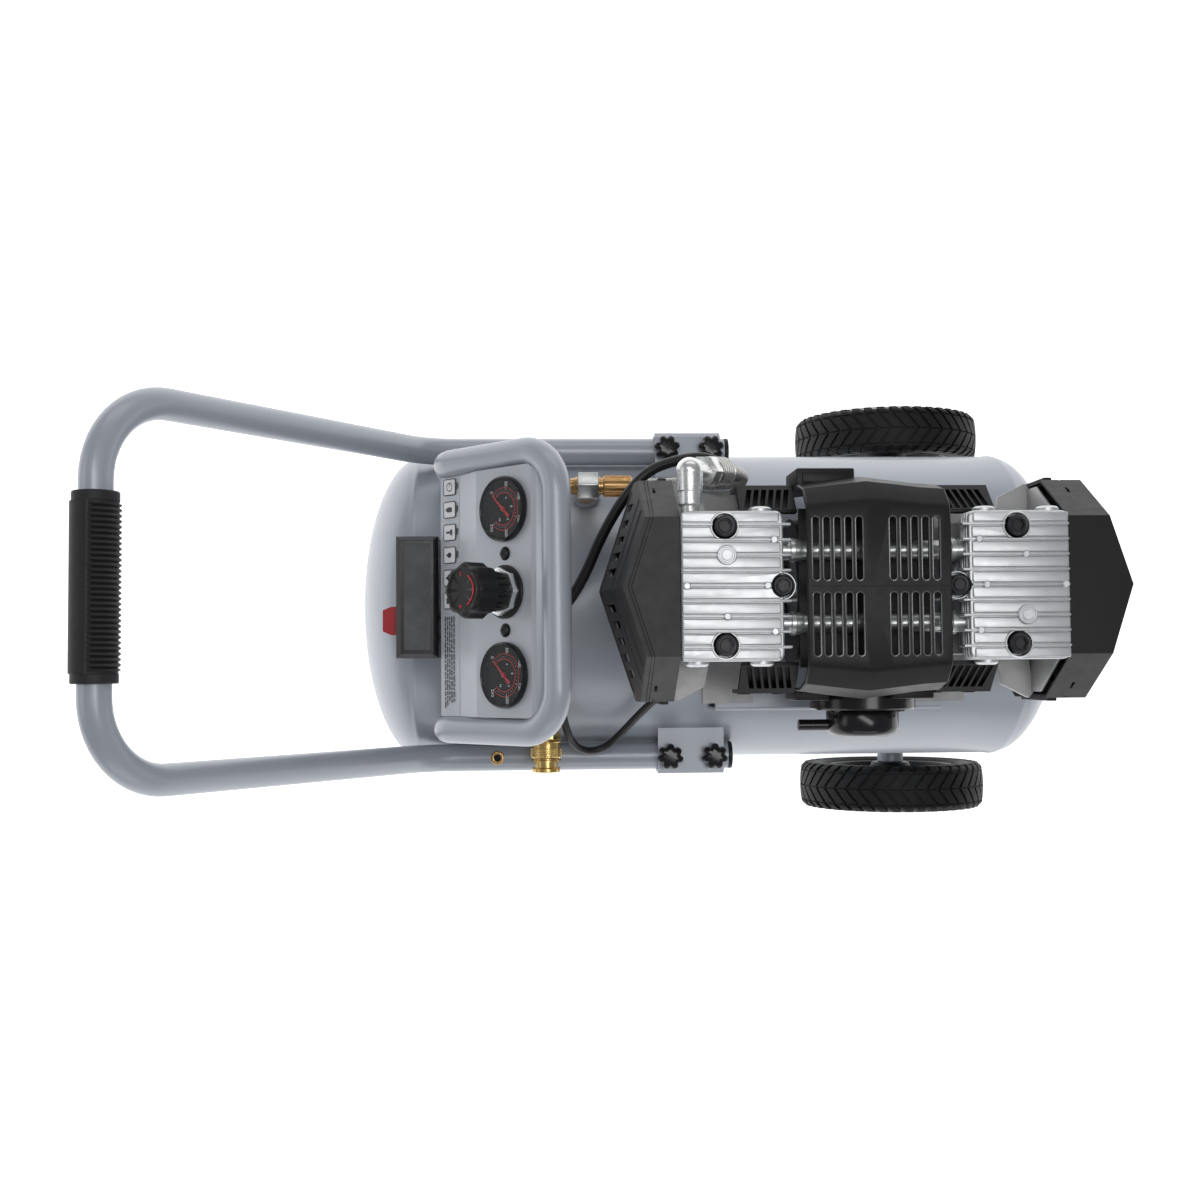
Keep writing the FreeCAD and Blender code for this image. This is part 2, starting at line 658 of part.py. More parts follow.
drain_valve = fuse(
    "drain_valve",
    cylinder("drain_stem", 4, 4, (DRAIN_PLACE, 0, 107.8)),
    cylinder("drain_barrel", 8, 14, (DRAIN_PLACE, 0, 94)),
    box("drain_wings", (26, 3, 8), (DRAIN_PLACE - 13, -1.5, 96)))

# ---------------------------------------------------------------- saddle and rubber mounts

saddle_outline = [(-99, 360), (-99, 419), (-97, "saddle_top"), (97, "saddle_top"), (99, 419),
                  (99, 360), (96, 360), (96, 418), (-96, 418), (-96, 360)]
saddle_plate = cut("saddle_plate",
                   plate("saddle_channel", "YZ", saddle_outline, 202,
                         ("pump_middle - 101", 0, 0)), tank_solid)
MOUNT_OFFSET = 86
MOUNT_SIDE = 80
rubber_mounts = together(
    "rubber_mounts",
    *[cylinder(f"rubber_mount_{end}_{side}", 12, "mount_top - saddle_top",
               (f"pump_middle + {end} * {MOUNT_OFFSET}", side * MOUNT_SIDE, "saddle_top"))
      for end in (-1, 1) for side in (-1, 1)])

# ---------------------------------------------------------------- motor and pump

motor_stator = cut(
    "motor_stator",
    cylinder("stator_solid", 60, 100, ("pump_middle - 50", 0, "motor_axis"), "X"),
    cylinder("stator_bore", 36.5, 104, ("pump_middle - 52", 0, "motor_axis"), "X"))
SHAFT_REACH = 172
shaft_parts = [
    cylinder("shaft_bar", 8, 2 * SHAFT_REACH, (f"pump_middle - {SHAFT_REACH}", 0, "motor_axis"),
             "X"),
    cylinder("rotor_core", 36, 92, ("pump_middle - 46", 0, "motor_axis"), "X"),
]
for end in (-1, 1):
    shaft_parts.append(cylinder(
        f"eccentric_{end + 1}", 18, 10,
        (f"pump_middle + {end} * cylinder_place - 5", 0, f"motor_axis + {end} * crank_throw"),
        "X"))
motor_shaft = fuse("motor_shaft", *shaft_parts)


def crankcase(name):
    """A cast case between motor and fan; the front one, which the rear one repeats."""
    place = "pump_middle - cylinder_place"
    body = fuse(
        f"{name}_solid",
        box(f"{name}_block", (74, 104, 104), (f"{place} - 36", -52, 452)),
        box(f"{name}_web", (44, 100, 10), (f"{place} - 6", -50, 442.5)),
        box(f"{name}_foot", (44, 184, 8), (f"{place} - 6", -92, "mount_top")),
        plate(f"{name}_lug_a", "XY", [(30, 50), (26.5, 84), (30, 88), (52, 77), (58, 50)], 8,
              (0, 0, 514)),
        plate(f"{name}_lug_b", "XY", [(58, -50), (52, -77), (30, -88), (26.5, -84), (30, -50)], 8,
              (0, 0, 514)))
    crank_space = box(f"{name}_space", (44, 92, 91), (f"{place} - 22", -46, 457))
    top_hole = cylinder(f"{name}_top_hole", 33.4, 20, (place, 0, 540))
    shaft_way = cylinder(f"{name}_shaft_way", 9, 40, (f"{place} - 40", 0, "motor_axis"), "X")
    bearing_seat = cylinder(f"{name}_bearing_seat", 20, 20, (f"{place} + 20", 0, "motor_axis"),
                            "X")
    return cut(name, body, crank_space, top_hole, shaft_way, bearing_seat)


def other_end(name, source):
    """The same piece at the rear end: turned half a turn about the pump's middle."""
    return copy_of(name, source, ("2 * pump_middle", 0, 0), 180)


def both_ends(name, source):
    return together(name, source, other_end(f"{name}_rear", source))


crankcases = both_ends("crankcases", crankcase("crankcase_front"))
bearing = cut("bearing_front",
              cylinder("bearing_ring", 20, 12, ("pump_middle - cylinder_place + 24", 0,
                                                "motor_axis"), "X"),
              cylinder("bearing_bore", 8.1, 14, ("pump_middle - cylinder_place + 23", 0,
                                                  "motor_axis"), "X"))
motor_bearings = both_ends("motor_bearings", bearing)
sleeve = cut("cylinder_sleeve_front",
             fuse("cylinder_sleeve_solid",
                  cylinder("sleeve_tube", 33.2, 23, ("pump_middle - cylinder_place", 0, 556)),
                  cylinder("sleeve_flange", 40, 12, ("pump_middle - cylinder_place", 0, 556))),
             cylinder("cylinder_bore", "bore_radius", 30,
                      ("pump_middle - cylinder_place", 0, 552)))
cylinder_sleeves = both_ends("cylinder_sleeves", sleeve)
valve_plates = both_ends(
    "valve_plates",
    box("valve_plate_front", (84, 108, 5), ("pump_middle - cylinder_place - 40", -54, 579)))


def cylinder_head(name, screws):
    """A finned cylinder head: nine ridges on top, slots round the sides and plugged bosses."""
    start = "pump_middle - head_outer"
    length = "head_outer - head_inner"
    block = box(f"{name}_block", (length, "2 * head_half_width", "head_top - head_bottom"),
                (start, "-head_half_width", "head_bottom"))
    ridges = [box(f"{name}_ridge_{i}", (f"{length} - 12", 4.4, 5),
                  (start, 11.9 * (i - 4) - 2.2, "head_top - 0.01"))
              for i in range(9)]
    slots = []
    for level in (588.5, 594.5, 600.5):
        outer = box(f"{name}_slot_{level:.0f}_outer", (120, 140, 3), (0, -70, level))
        core = box(f"{name}_slot_{level:.0f}_core", (75, "2 * head_half_width - 12", 5),
                   (f"{start} + 6", "-head_half_width + 6", level - 1))
        slots.append(cut(f"{name}_slot_{level:.0f}", outer, core))
    step = box(f"{name}_step", (14, 130, 12), ("pump_middle - head_inner - 2.5", -65,
                                               "head_top - 7"))
    ways = [cylinder(f"{name}_screw_way_{i}", 8.8, 20, (across, along, "head_top - 2"))
            for i, (across, along) in enumerate(screws)]
    bores = [cylinder(f"{name}_screw_bore_{i}", 4.3, 40, (across, along, "head_bottom - 2"))
             for i, (across, along) in enumerate(screws)]
    port = cylinder(f"{name}_port", 7.2, 12, (ELBOW[0], "head_half_width - 12", ELBOW[1]), "Y")
    bosses = [cylinder(f"{name}_boss_{i}", 9, 6, (across, along, ELBOW[1]), "Y")
              for i, (across, along) in enumerate(SIDE_BOSSES)]
    body = cut(f"{name}_body", fuse(f"{name}_solid", block, *ridges), *slots, step, *ways,
               *bores)
    return cut(name, fuse(f"{name}_with_bosses", body, *bosses), port)


FRONT_SCREWS = [("pump_middle - 116", 45), ("pump_middle - 116", -45), ("pump_middle - 71.6", 0)]
REAR_SCREWS = [("pump_middle - 108", 45), ("pump_middle - 108", -45), ("pump_middle - 63.8", 0)]
ELBOW = (34, 594)
SIDE_BOSSES = [("pump_middle - 86.8", 55), ("pump_middle - 86.8", -61),
               ("pump_middle - 136.5", -61)]
cylinder_head_front = cylinder_head("cylinder_head_front", FRONT_SCREWS)
cylinder_head_rear = other_end("cylinder_head_rear",
                               cylinder_head("cylinder_head_plain", REAR_SCREWS))


def head_screw(name, place):
    body = fuse(f"{name}_solid",
                cylinder(f"{name}_head", 8.2, 9, (place[0], place[1], "head_top - 2")),
                cylinder(f"{name}_shank", 4, 20, (place[0], place[1], "head_top - 21.5")))
    socket = nut(f"{name}_socket", 4.6, 6, (place[0], place[1], "head_top + 2"))
    return cut(name, body, socket)


screws_front = together("head_screws_front",
                        *[head_screw(f"head_screw_front_{i}", place)
                          for i, place in enumerate(FRONT_SCREWS)])
screws_rear = together("head_screws_plain",
                       *[head_screw(f"head_screw_rear_{i}", place)
                         for i, place in enumerate(REAR_SCREWS)])
head_screws = together("head_screws", screws_front, other_end("head_screws_rear", screws_rear))


def piston(name, end):
    """A wobble piston and its rod; the big end is an open ring round the eccentric."""
    place = f"pump_middle + {end} * cylinder_place"
    ring_outer = cylinder(f"{name}_ring_outer", 41.5, 8, (f"{place} - 4", 0, "motor_axis"), "X")
    ring_inner = cylinder(f"{name}_ring_inner", 37.5, 12, (f"{place} - 6", 0, "motor_axis"), "X")
    rod = box(f"{name}_rod", (8, 16, 13), (f"{place} - 4", -8, 550))
    crown = cylinder(f"{name}_crown", "bore_radius - 0.4", 6, (place, 0, 561))
    return fuse(name, cut(f"{name}_big_end", ring_outer, ring_inner), rod, crown)


piston_front = piston("piston_front", -1)
piston_rear = piston("piston_rear", 1)


def cooling_fan(name, end):
    place = f"pump_middle + {end} * 161.5 - 8"
    hub = cut(f"{name}_hub", cylinder(f"{name}_hub_solid", 20, 16, (place, 0, "motor_axis"), "X"),
              cylinder(f"{name}_hub_bore", 8, 20, (f"{place} - 2", 0, "motor_axis"), "X"))
    blades = []
    for i in range(6):
        blade = new("Part::Box", f"{name}_blade_{i}")
        bind(blade, "Length", 3)
        bind(blade, "Width", "fan_radius - 18")
        blade.Height = 20
        angle = 60 * i
        spin = Rotation(Vector(1, 0, 0), angle)
        pitch = Rotation(Vector(0, 1, 0), 62)
        centre = spin.multVec(Vector(0, 18, 0))
        local = spin.multiply(pitch)
        corner = local.multVec(Vector(-1.5, 0, -10))
        blade.Placement = Placement(Vector(), local)
        move(blade, (f"{place} + 8 + ({corner.x:.4f})", centre.y + corner.y,
                     f"motor_axis + ({centre.z + corner.z:.4f})"))
        blades.append(blade)
    return fuse(name, hub, *blades)


cooling_fans = together("cooling_fans", cooling_fan("cooling_fan_front", -1),
                        cooling_fan("cooling_fan_rear", 1))

# ---------------------------------------------------------------- pump covers


SHROUD_LEAN = 0.196
SHROUD_SHEET = 2.5
SHROUD_END = 25
PROW_TIP = -33
PROW_SHOULDER = -3
PROW_LEVEL = 530
PROW_SIDE = 92
REAR_DEEPER = 6.5
LOUVRE_WIDTH = 6
LOUVRE_DEPTH = 26
LOUVRE_FIRST = 14
LOUVRE_PITCH = 13
LOUVRE_ROWS = ((462, 523), (537, 563))


def leaning_plate(name, plan, height, lean, level):
    """A flat outline padded up or down from a level while it drifts along X."""
    body = plate(name, "XY", plan, abs(height), (0, 0, level))
    body.Tip.UseCustomVector = True
    body.Tip.AlongSketchNormal = True
    body.Tip.Direction = Vector(lean, 0, math.copysign(1, height))
    return body


def shroud_shell(name, inset, deeper):
    """The outside, or with an inset the inside, of a fan shroud with a pointed front."""
    wide = f"shroud_half_width - {inset}"
    top = f"shroud_top - {inset}"
    bottom = 424 + inset * 0.8
    section = [(f"-({wide})", 472), (f"-({wide})", 545), (-53, top), (53, top),
               (wide, 545), (wide, 472), (58, bottom), (-58, bottom)]
    start = PROW_TIP - deeper
    tip = start + 1.3 * inset
    shoulder = PROW_SHOULDER + inset - deeper
    back = SHROUD_END if inset == 0 else 90
    plan = [(tip, 0), (shoulder, PROW_SIDE), (90, PROW_SIDE), (90, -PROW_SIDE),
            (shoulder, -PROW_SIDE)]
    return common(name, plate(f"{name}_section", "YZ", section, back - start, (start, 0, 0)),
                  fuse(f"{name}_prow",
                       leaning_plate(f"{name}_upper", plan, 80, SHROUD_LEAN, PROW_LEVEL),
                       leaning_plate(f"{name}_lower", plan, -110, SHROUD_LEAN, PROW_LEVEL)))


def fan_shroud(name, deeper):
    """A shroud with two rows of louvres each side, above and below its foremost edge."""
    outer = shroud_shell(f"{name}_outer", 0, deeper)
    inner = shroud_shell(f"{name}_inner", SHROUD_SHEET, deeper)
    slope = (PROW_SHOULDER - PROW_TIP) / PROW_SIDE
    louvres = []
    for side in (-1, 1):
        for i in range(5):
            middle = LOUVRE_FIRST + LOUVRE_PITCH * i
            face = PROW_TIP - deeper + slope * middle
            for row, (bottom, top) in enumerate(LOUVRE_ROWS):
                louvres.append(box(f"{name}_louvre_{side + 1}_{i}_{row}",
                                   (LOUVRE_DEPTH, LOUVRE_WIDTH, top - bottom - 3 * i),
                                   (face - 4, side * middle - LOUVRE_WIDTH / 2,
                                    bottom + (3 * i if row == 0 else 0))))
    return cut(name, outer, inner, *louvres)


fan_shroud_front = fan_shroud("fan_shroud_front", 0)
fan_shroud_rear = other_end("fan_shroud_rear", fan_shroud("rear_shroud_shape", REAR_DEEPER))


def cover_section(inset):
    points = [(-80, 500), (-80, 578), (-74, 601), (-62, 613), (-58, 615), (58, 615), (62, 613),
              (74, 601), (80, 578), (80, 500)]
    if inset == 0:
        return points
    return [(x * (1 - inset / 70), z - inset if z > 500 else z) for x, z in points]


cover_outer = plate("cover_outer", "YZ", cover_section(0), "2 * cover_half_length",
                    ("pump_middle - cover_half_length", 0, 0))
cover_inner = plate("cover_inner", "YZ", cover_section(2.5), "2 * cover_half_length + 4",
                    ("pump_middle - cover_half_length - 2", 0, 0))
cover_slots = []
SLOT_PITCH = 8.26
SLOT_LENGTH = 47.7
for group, first in enumerate((-50.4, 8.3)):
    for i in range(5):
        place = f"pump_middle + {first} + {SLOT_PITCH * i:.2f}"
        for half, start in (("left", 3.5), ("right", -3.5 - SLOT_LENGTH)):
            cover_slots.append(box(f"cover_slot_{group}_{i}_{half}", (4.6, SLOT_LENGTH, 20),
                                   (place, start, 604)))
intake_seat = cylinder("intake_seat", 12, 20, ("pump_middle + 9", -90, "motor_axis"), "Y")
cover_corner = box("cover_corner", (46, 14.7, 46), ("pump_middle - 55", 79, 530))
centre_cover = fuse("centre_cover",
                    cut("cover_shell", cover_outer, cover_inner, *cover_slots, intake_seat),
                    cover_corner)

grille_corners = [(57.5, 580), (59.6, 582.2), (82, 560), (82, 524), (79, 524), (79, 558.5)]
grilles = []
for end in (-1, 1):
    for side in (-1, 1):
        name = f"side_grille_{end + 1}_{side + 1}"
        corners = [(f"{side} * {across}", upward) for across, upward in grille_corners]
        start = "pump_middle - 100" if end < 0 else "pump_middle + 56"
        sheet_part = plate(f"{name}_sheet", "YZ", corners, 44, (start, 0, 0))
        slots = [box(f"{name}_slot_{i}", (4, 40, 40), (f"{start} + {5 + 8 * i}", side * 70 - 20,
                                                       531))
                 for i in range(5)]
        grilles.append(cut(name, sheet_part, *slots))
side_grilles = together("side_grilles", *grilles)

TUBE_SIDE = 28
TUBE_HEIGHT = 590
tube_start = "pump_middle - head_inner + 0.05"
tube_run = "2 * head_inner - 0.1"
tubes = []
for side_name, side in (("left", 1), ("right", -1)):
    place = side * TUBE_SIDE
    tubes.append(fuse(
        f"transfer_tube_{side_name}",
        cylinder(f"transfer_run_{side_name}", 6.5, tube_run, (tube_start, place, TUBE_HEIGHT), "X"),
        cylinder(f"transfer_end_a_{side_name}", 8, 5, (tube_start, place, TUBE_HEIGHT), "X"),
        cylinder(f"transfer_end_b_{side_name}", 8, 5,
                 (f"{tube_start} + {tube_run} - 5", place, TUBE_HEIGHT), "X")))
transfer_tubes = together("transfer_tubes", *tubes)

intake_x = "pump_middle + 9"
intake_filter = fuse(
    "intake_filter",
    cylinder("intake_ring", 43, 16, (intake_x, -96.5, "motor_axis"), "Y"),
    cylinder("intake_spigot", 11.8, 8, (intake_x, -82, "motor_axis"), "Y"),
    cylinder("intake_canister", 29.5, 22, (intake_x, -118.3, "motor_axis"), "Y"),
    cylinder("intake_inlet", 4.6, 36, ("pump_middle - 44", -109, "motor_axis"), "X"))

# ---------------------------------------------------------------- discharge line and leads

elbow_x, elbow_z = ELBOW
ELBOW_CORNER = Vector(elbow_x, 89, elbow_z)
ELBOW_OUT = Vector(0.6, 0.09, -0.8).normalize()
FERRULE_END = 54


def down_the_outlet(item, distance):
    """Stand an object on the elbow's lower leg, with its own Z along the leg."""
    item.Placement = Placement(Vector(), Rotation(Vector(0, 0, 1), ELBOW_OUT))
    return move(item, ELBOW_CORNER + ELBOW_OUT * distance)


discharge_elbow = fuse(
    "discharge_elbow",
    cylinder("elbow_inlet", 7, 42, (elbow_x, 47, elbow_z), "Y"),
    cylinder("elbow_collar", 10, 22, (elbow_x, 62, elbow_z), "Y"),
    ball("elbow_ball", 10.5, (elbow_x, ELBOW_CORNER.y, elbow_z)),
    down_the_outlet(cylinder("elbow_neck", 8.5, 24, (0, 0, 0)), 2),
    down_the_outlet(nut("elbow_nut", 13, 12, (0, 0, 0)), 20),
    down_the_outlet(cylinder("elbow_ferrule", 10.5, 24, (0, 0, 0)), FERRULE_END - 24))

hose_start = ELBOW_CORNER + ELBOW_OUT * FERRULE_END
hose_second = hose_start + ELBOW_OUT * 22
HOSE_ROUTE = [tuple(hose_start), tuple(hose_second), (89, 94.5, 500), (80, 97, 467),
              (55, 98.5, 443), (27, 98, 435), (1.3, 97.6, 435)]
SWITCH_LEAD = [(-165, -14, 438), (-128, -18, 436), (-92, -22, 437), (-62, -14, 441),
               (-42, 16, 446), (-27, 52, 455), (-8, 84, 463), (12, 107, 465), (36, 116, 463),
               (59, 120, 460), (77, 115, 456), (89, 105, 454), (96, 90, 458), (96, 72, 463),
               (96, 52.1, 463)]
MOTOR_LEAD = [(-165, -34, 438), (-128, -36, 436), (-96, -48, 430), (-73, -68, 420),
              (-62, -92, 409), (-57, -114, 396), (-51, -129, 379), (-38, -137, 366),
              (-20, -134, 362), (-6, -120, 371), (9, -102, 393), (24, -86, 416),
              (40, -72, 434)]


def lead(name, route, radius):
    """A round lead; each bend is as large as the shorter of its two runs allows."""
    points = [Vector(*point) for point in route]
    radii = []
    for before, corner, after in zip(points, points[1:], points[2:]):
        shorter = min((corner - before).Length, (after - corner).Length)
        half_turn = (corner - before).getAngle(after - corner) / 2
        radii.append(0.45 * shorter / math.tan(half_turn))
    path = rounded_path(points, radii)
    solid = swept(path, radius)
    print(f"{name}: length {path.Length:.0f} mm, smallest bend {min(radii):.0f} mm, "
          f"volume ratio {solid.Volume / (path.Length * math.pi * radius ** 2):.3f}")
    return shaped(name, solid)


discharge_hose = lead("discharge_hose", HOSE_ROUTE, 6.2)
switch_cable = lead("switch_cable", SWITCH_LEAD, 4.6)
motor_cable = lead("motor_cable", MOTOR_LEAD, 3.4)

# ---------------------------------------------------------------- export

NODES = [
    "air_tank", "handle_brackets", "wheel_axle", "axle_brackets", "foot_bracket", "rubber_feet",
    "guard_hoop", "control_panel", "panel_screws", "pressure_switch", "air_manifold",
    "regulator_body", "regulator_nut", "gauge_cases", "gauge_lenses", "coupler_body",
    "check_valve", "discharge_hose", "discharge_elbow", "switch_cable", "motor_cable",
    "saddle_plate", "rubber_mounts", "motor_stator", "motor_bearings", "crankcases",
    "cylinder_sleeves", "valve_plates", "cylinder_head_front", "cylinder_head_rear",
    "head_screws", "centre_cover", "fan_shroud_front", "fan_shroud_rear", "side_grilles",
    "transfer_tubes", "intake_filter", "safety_valve_body", "handle_tube", "handle_grip",
    "handle_end_plugs", *KNOBS, "tyre_left", "tyre_right", "hub_left", "hub_right",
    "regulator_knob", "switch_knob", "tank_gauge_needle", "outlet_gauge_needle",
    "coupler_sleeve", "drain_valve", "safety_ring", "motor_shaft", "cooling_fans",
    "piston_front", "piston_rear",
]

doc.recompute()
failed = [item.Label for item in doc.Objects if {"Invalid", "Error"} & set(item.State)]
if failed:
    raise RuntimeError(f"these did not recompute: {failed}")
os.makedirs("parts", exist_ok=True)
for node in NODES:
    part = doc.getObject(node)
    shape = part.Shape
    if shape.isNull() or not shape.isValid() or not shape.Solids:
        raise RuntimeError(f"{node} has no valid solid")
    Part.Compound(shape.Solids).exportStep(f"parts/{node}.step")
print(f"{len(NODES)} sub-parts written")
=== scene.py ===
"""The looks of the twin-cylinder air compressor: materials, detailed pieces, light and camera.

Sizes in the functions are in millimetres in the row frame (+X from the handle to the pump, +Y to
the check valve, +Z up) and become metres when a mesh is made.
"""
import math

import bmesh
import bpy
import json
from mathutils import Matrix, Vector


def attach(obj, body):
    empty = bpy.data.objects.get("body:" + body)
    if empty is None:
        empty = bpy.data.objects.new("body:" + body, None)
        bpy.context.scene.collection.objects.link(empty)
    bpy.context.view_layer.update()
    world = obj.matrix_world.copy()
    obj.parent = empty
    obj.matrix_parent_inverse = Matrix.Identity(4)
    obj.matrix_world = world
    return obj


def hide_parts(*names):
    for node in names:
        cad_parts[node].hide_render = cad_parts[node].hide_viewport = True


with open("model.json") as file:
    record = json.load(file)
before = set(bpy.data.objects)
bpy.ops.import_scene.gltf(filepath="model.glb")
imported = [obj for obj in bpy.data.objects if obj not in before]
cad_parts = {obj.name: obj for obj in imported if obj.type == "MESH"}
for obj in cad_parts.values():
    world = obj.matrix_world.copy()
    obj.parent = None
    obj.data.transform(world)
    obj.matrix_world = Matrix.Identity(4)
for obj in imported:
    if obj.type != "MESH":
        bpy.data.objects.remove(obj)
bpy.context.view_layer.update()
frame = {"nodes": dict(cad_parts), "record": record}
BODY_OF = {node: body for body, nodes in frame["record"]["behaviour"]["bodies"].items()
           for node in nodes}
SLOT_OF = {entry["node"]: entry["material_slot"] for entry in frame["record"]["subparts"]}
MM = 0.001
PUMP_MIDDLE = 174.5
MOTOR_AXIS = 510
GRIP_PLACE = (-402, 0, 631)
PANEL_MIDDLE = (-108, 541)
SWITCH_MIDDLE = -183

# --- camera


def add_camera():
    data = bpy.data.cameras.new("camera")
    data.sensor_width = 36
    data.lens = 43.5
    camera = bpy.data.objects.new("camera", data)
    bpy.context.scene.collection.objects.link(camera)
    tilt = (Matrix.Rotation(math.radians(2.79), 4, "X")
            @ Matrix.Rotation(math.radians(-2.85), 4, "Y")
            @ Matrix.Rotation(math.radians(-0.35), 4, "Z"))
    camera.matrix_world = Matrix.Translation((-0.0902, -0.0630, 1.692)) @ tilt
    bpy.context.scene.camera = camera


add_camera()

# --- materials


def node(tree, kind, **inputs):
    """A shader node with some of its inputs set; underscores stand for spaces."""
    made = tree.nodes.new(kind)
    for name, value in inputs.items():
        made.inputs[name.replace("_", " ")].default_value = value
    return made


def noise(tree, scale, detail=4.0, distortion=0.0):
    coordinates = tree.nodes.new("ShaderNodeTexCoord")
    made = node(tree, "ShaderNodeTexNoise", Scale=scale, Detail=detail, Distortion=distortion)
    tree.links.new(coordinates.outputs["Object"], made.inputs["Vector"])
    return made.outputs["Fac"]


def spread(tree, factor, low, high):
    """Map a noise value to a range of numbers."""
    made = node(tree, "ShaderNodeMapRange", From_Min=0.2, From_Max=0.8, To_Min=low, To_Max=high)
    tree.links.new(factor, made.inputs["Value"])
    return made.outputs["Result"]


def ramp(tree, factor, *stops):
    """A colour ramp from (position, colour) stops."""
    made = tree.nodes.new("ShaderNodeValToRGB")
    elements = made.color_ramp.elements
    while len(elements) < len(stops):
        elements.new(0.5)
    for element, (position, colour) in zip(elements, stops):
        element.position = position
        element.color = (*colour, 1)
    tree.links.new(factor, made.inputs["Fac"])
    return made.outputs["Color"]


def surface(name, colour, roughness, metallic=0.0, coat=0.0, coat_roughness=0.08, tint=0.10,
            cloud=30, wander=0.06, grain=900, depth=0.05, flecks=None, specular=0.5):
    """A finish with cloudy colour, wandering roughness and a fine grain.

    depth is the height of the grain in millimetres, flecks a colour strewn over the surface.
    """
    made = bpy.data.materials.new(name)
    made.use_nodes = True
    tree = made.node_tree
    shader = tree.nodes["Principled BSDF"]
    shader.inputs["Metallic"].default_value = metallic
    shader.inputs["Specular IOR Level"].default_value = specular
    shader.inputs["Coat Weight"].default_value = coat
    shader.inputs["Coat Roughness"].default_value = coat_roughness
    dark = [c * (1 - tint) for c in colour]
    light = [min(c * (1 + tint), 1) for c in colour]
    base = ramp(tree, noise(tree, cloud), (0.25, dark), (0.75, light))
    if flecks:
        mix = tree.nodes.new("ShaderNodeMix")
        mix.data_type = "RGBA"
        tree.links.new(ramp(tree, noise(tree, grain * 0.7, 2.0), (0.66, (0, 0, 0)),
                            (0.72, (1, 1, 1))), mix.inputs["Factor"])
        tree.links.new(base, mix.inputs["A"])
        mix.inputs["B"].default_value = (*flecks, 1)
        base = mix.outputs["Result"]
    tree.links.new(base, shader.inputs["Base Color"])
    tree.links.new(spread(tree, noise(tree, cloud * 3), max(roughness - wander, 0.02),
                          roughness + wander), shader.inputs["Roughness"])
    bump = node(tree, "ShaderNodeBump", Strength=0.6, Distance=depth * MM)
    tree.links.new(noise(tree, grain, 3.0), bump.inputs["Height"])
    tree.links.new(bump.outputs["Normal"], shader.inputs["Normal"])
    return made


MATERIALS = {
    "painted_silver": surface("silver_paint", (0.42, 0.45, 0.50), 0.38, metallic=0.18, coat=0.30,
                              coat_roughness=0.16, tint=0.03, cloud=9, wander=0.02, grain=900,
                              depth=0.02, specular=0.4),
    "cast_aluminium": surface("cast_aluminium", (0.69, 0.70, 0.71), 0.42, metallic=0.75,
                              tint=0.07, cloud=60, grain=1800, depth=0.06),
    "zinc_steel": surface("zinc_steel", (0.55, 0.56, 0.57), 0.34, metallic=0.9, cloud=80),
    "motor_iron": surface("motor_iron", (0.06, 0.06, 0.065), 0.6, metallic=0.5, cloud=60),
    "bright_chrome": surface("bright_plate", (0.80, 0.81, 0.82), 0.20, metallic=0.95, tint=0.05,
                             cloud=120, grain=700, depth=0.10),
    "brass": surface("brass", (0.52, 0.32, 0.14), 0.30, metallic=0.95, tint=0.16, cloud=90,
                     grain=1300, depth=0.04),
    "black_plastic": surface("black_plastic", (0.010, 0.010, 0.011), 0.44, tint=0.12, cloud=40,
                             grain=1500, depth=0.04, specular=0.32),
    "gloss_black": surface("gloss_black", (0.008, 0.008, 0.009), 0.22, coat=0.25, cloud=50,
                           grain=800, depth=0.02, specular=0.35),
    "switch_grey": surface("switch_grey", (0.088, 0.089, 0.092), 0.60, tint=0.20, cloud=90,
                           grain=900, depth=0.20, flecks=(0.10, 0.10, 0.10)),
    "signal_red": surface("signal_red", (0.42, 0.004, 0.010), 0.34, specular=0.3, cloud=60,
                          grain=900, depth=0.03),
    "black_steel": surface("black_steel", (0.020, 0.020, 0.022), 0.38, metallic=0.3, cloud=90),
    "soft_rubber": surface("soft_rubber", (0.013, 0.013, 0.014), 0.58, tint=0.15, cloud=40,
                           grain=1300, depth=0.06),
    "tyre_rubber": surface("tyre_rubber", (0.011, 0.011, 0.011), 0.58, specular=0.3, tint=0.2, cloud=30,
                           grain=1000, depth=0.08),
    "braided_steel": surface("braid_wire", (0.55, 0.55, 0.53), 0.30, metallic=0.9, cloud=300),
    "cable_rubber": surface("cable_rubber", (0.008, 0.008, 0.009), 0.42, cloud=60, grain=1500,
                            depth=0.04),
}


def clear_lens():
    """Thin clear plastic over the dials, with a little dust in its gloss."""
    made = surface("clear_lens", (0.9, 0.92, 0.93), 0.06, tint=0.02, wander=0.03, grain=400,
                   depth=0.01)
    made.node_tree.nodes["Principled BSDF"].inputs["Alpha"].default_value = 0.03
    return made


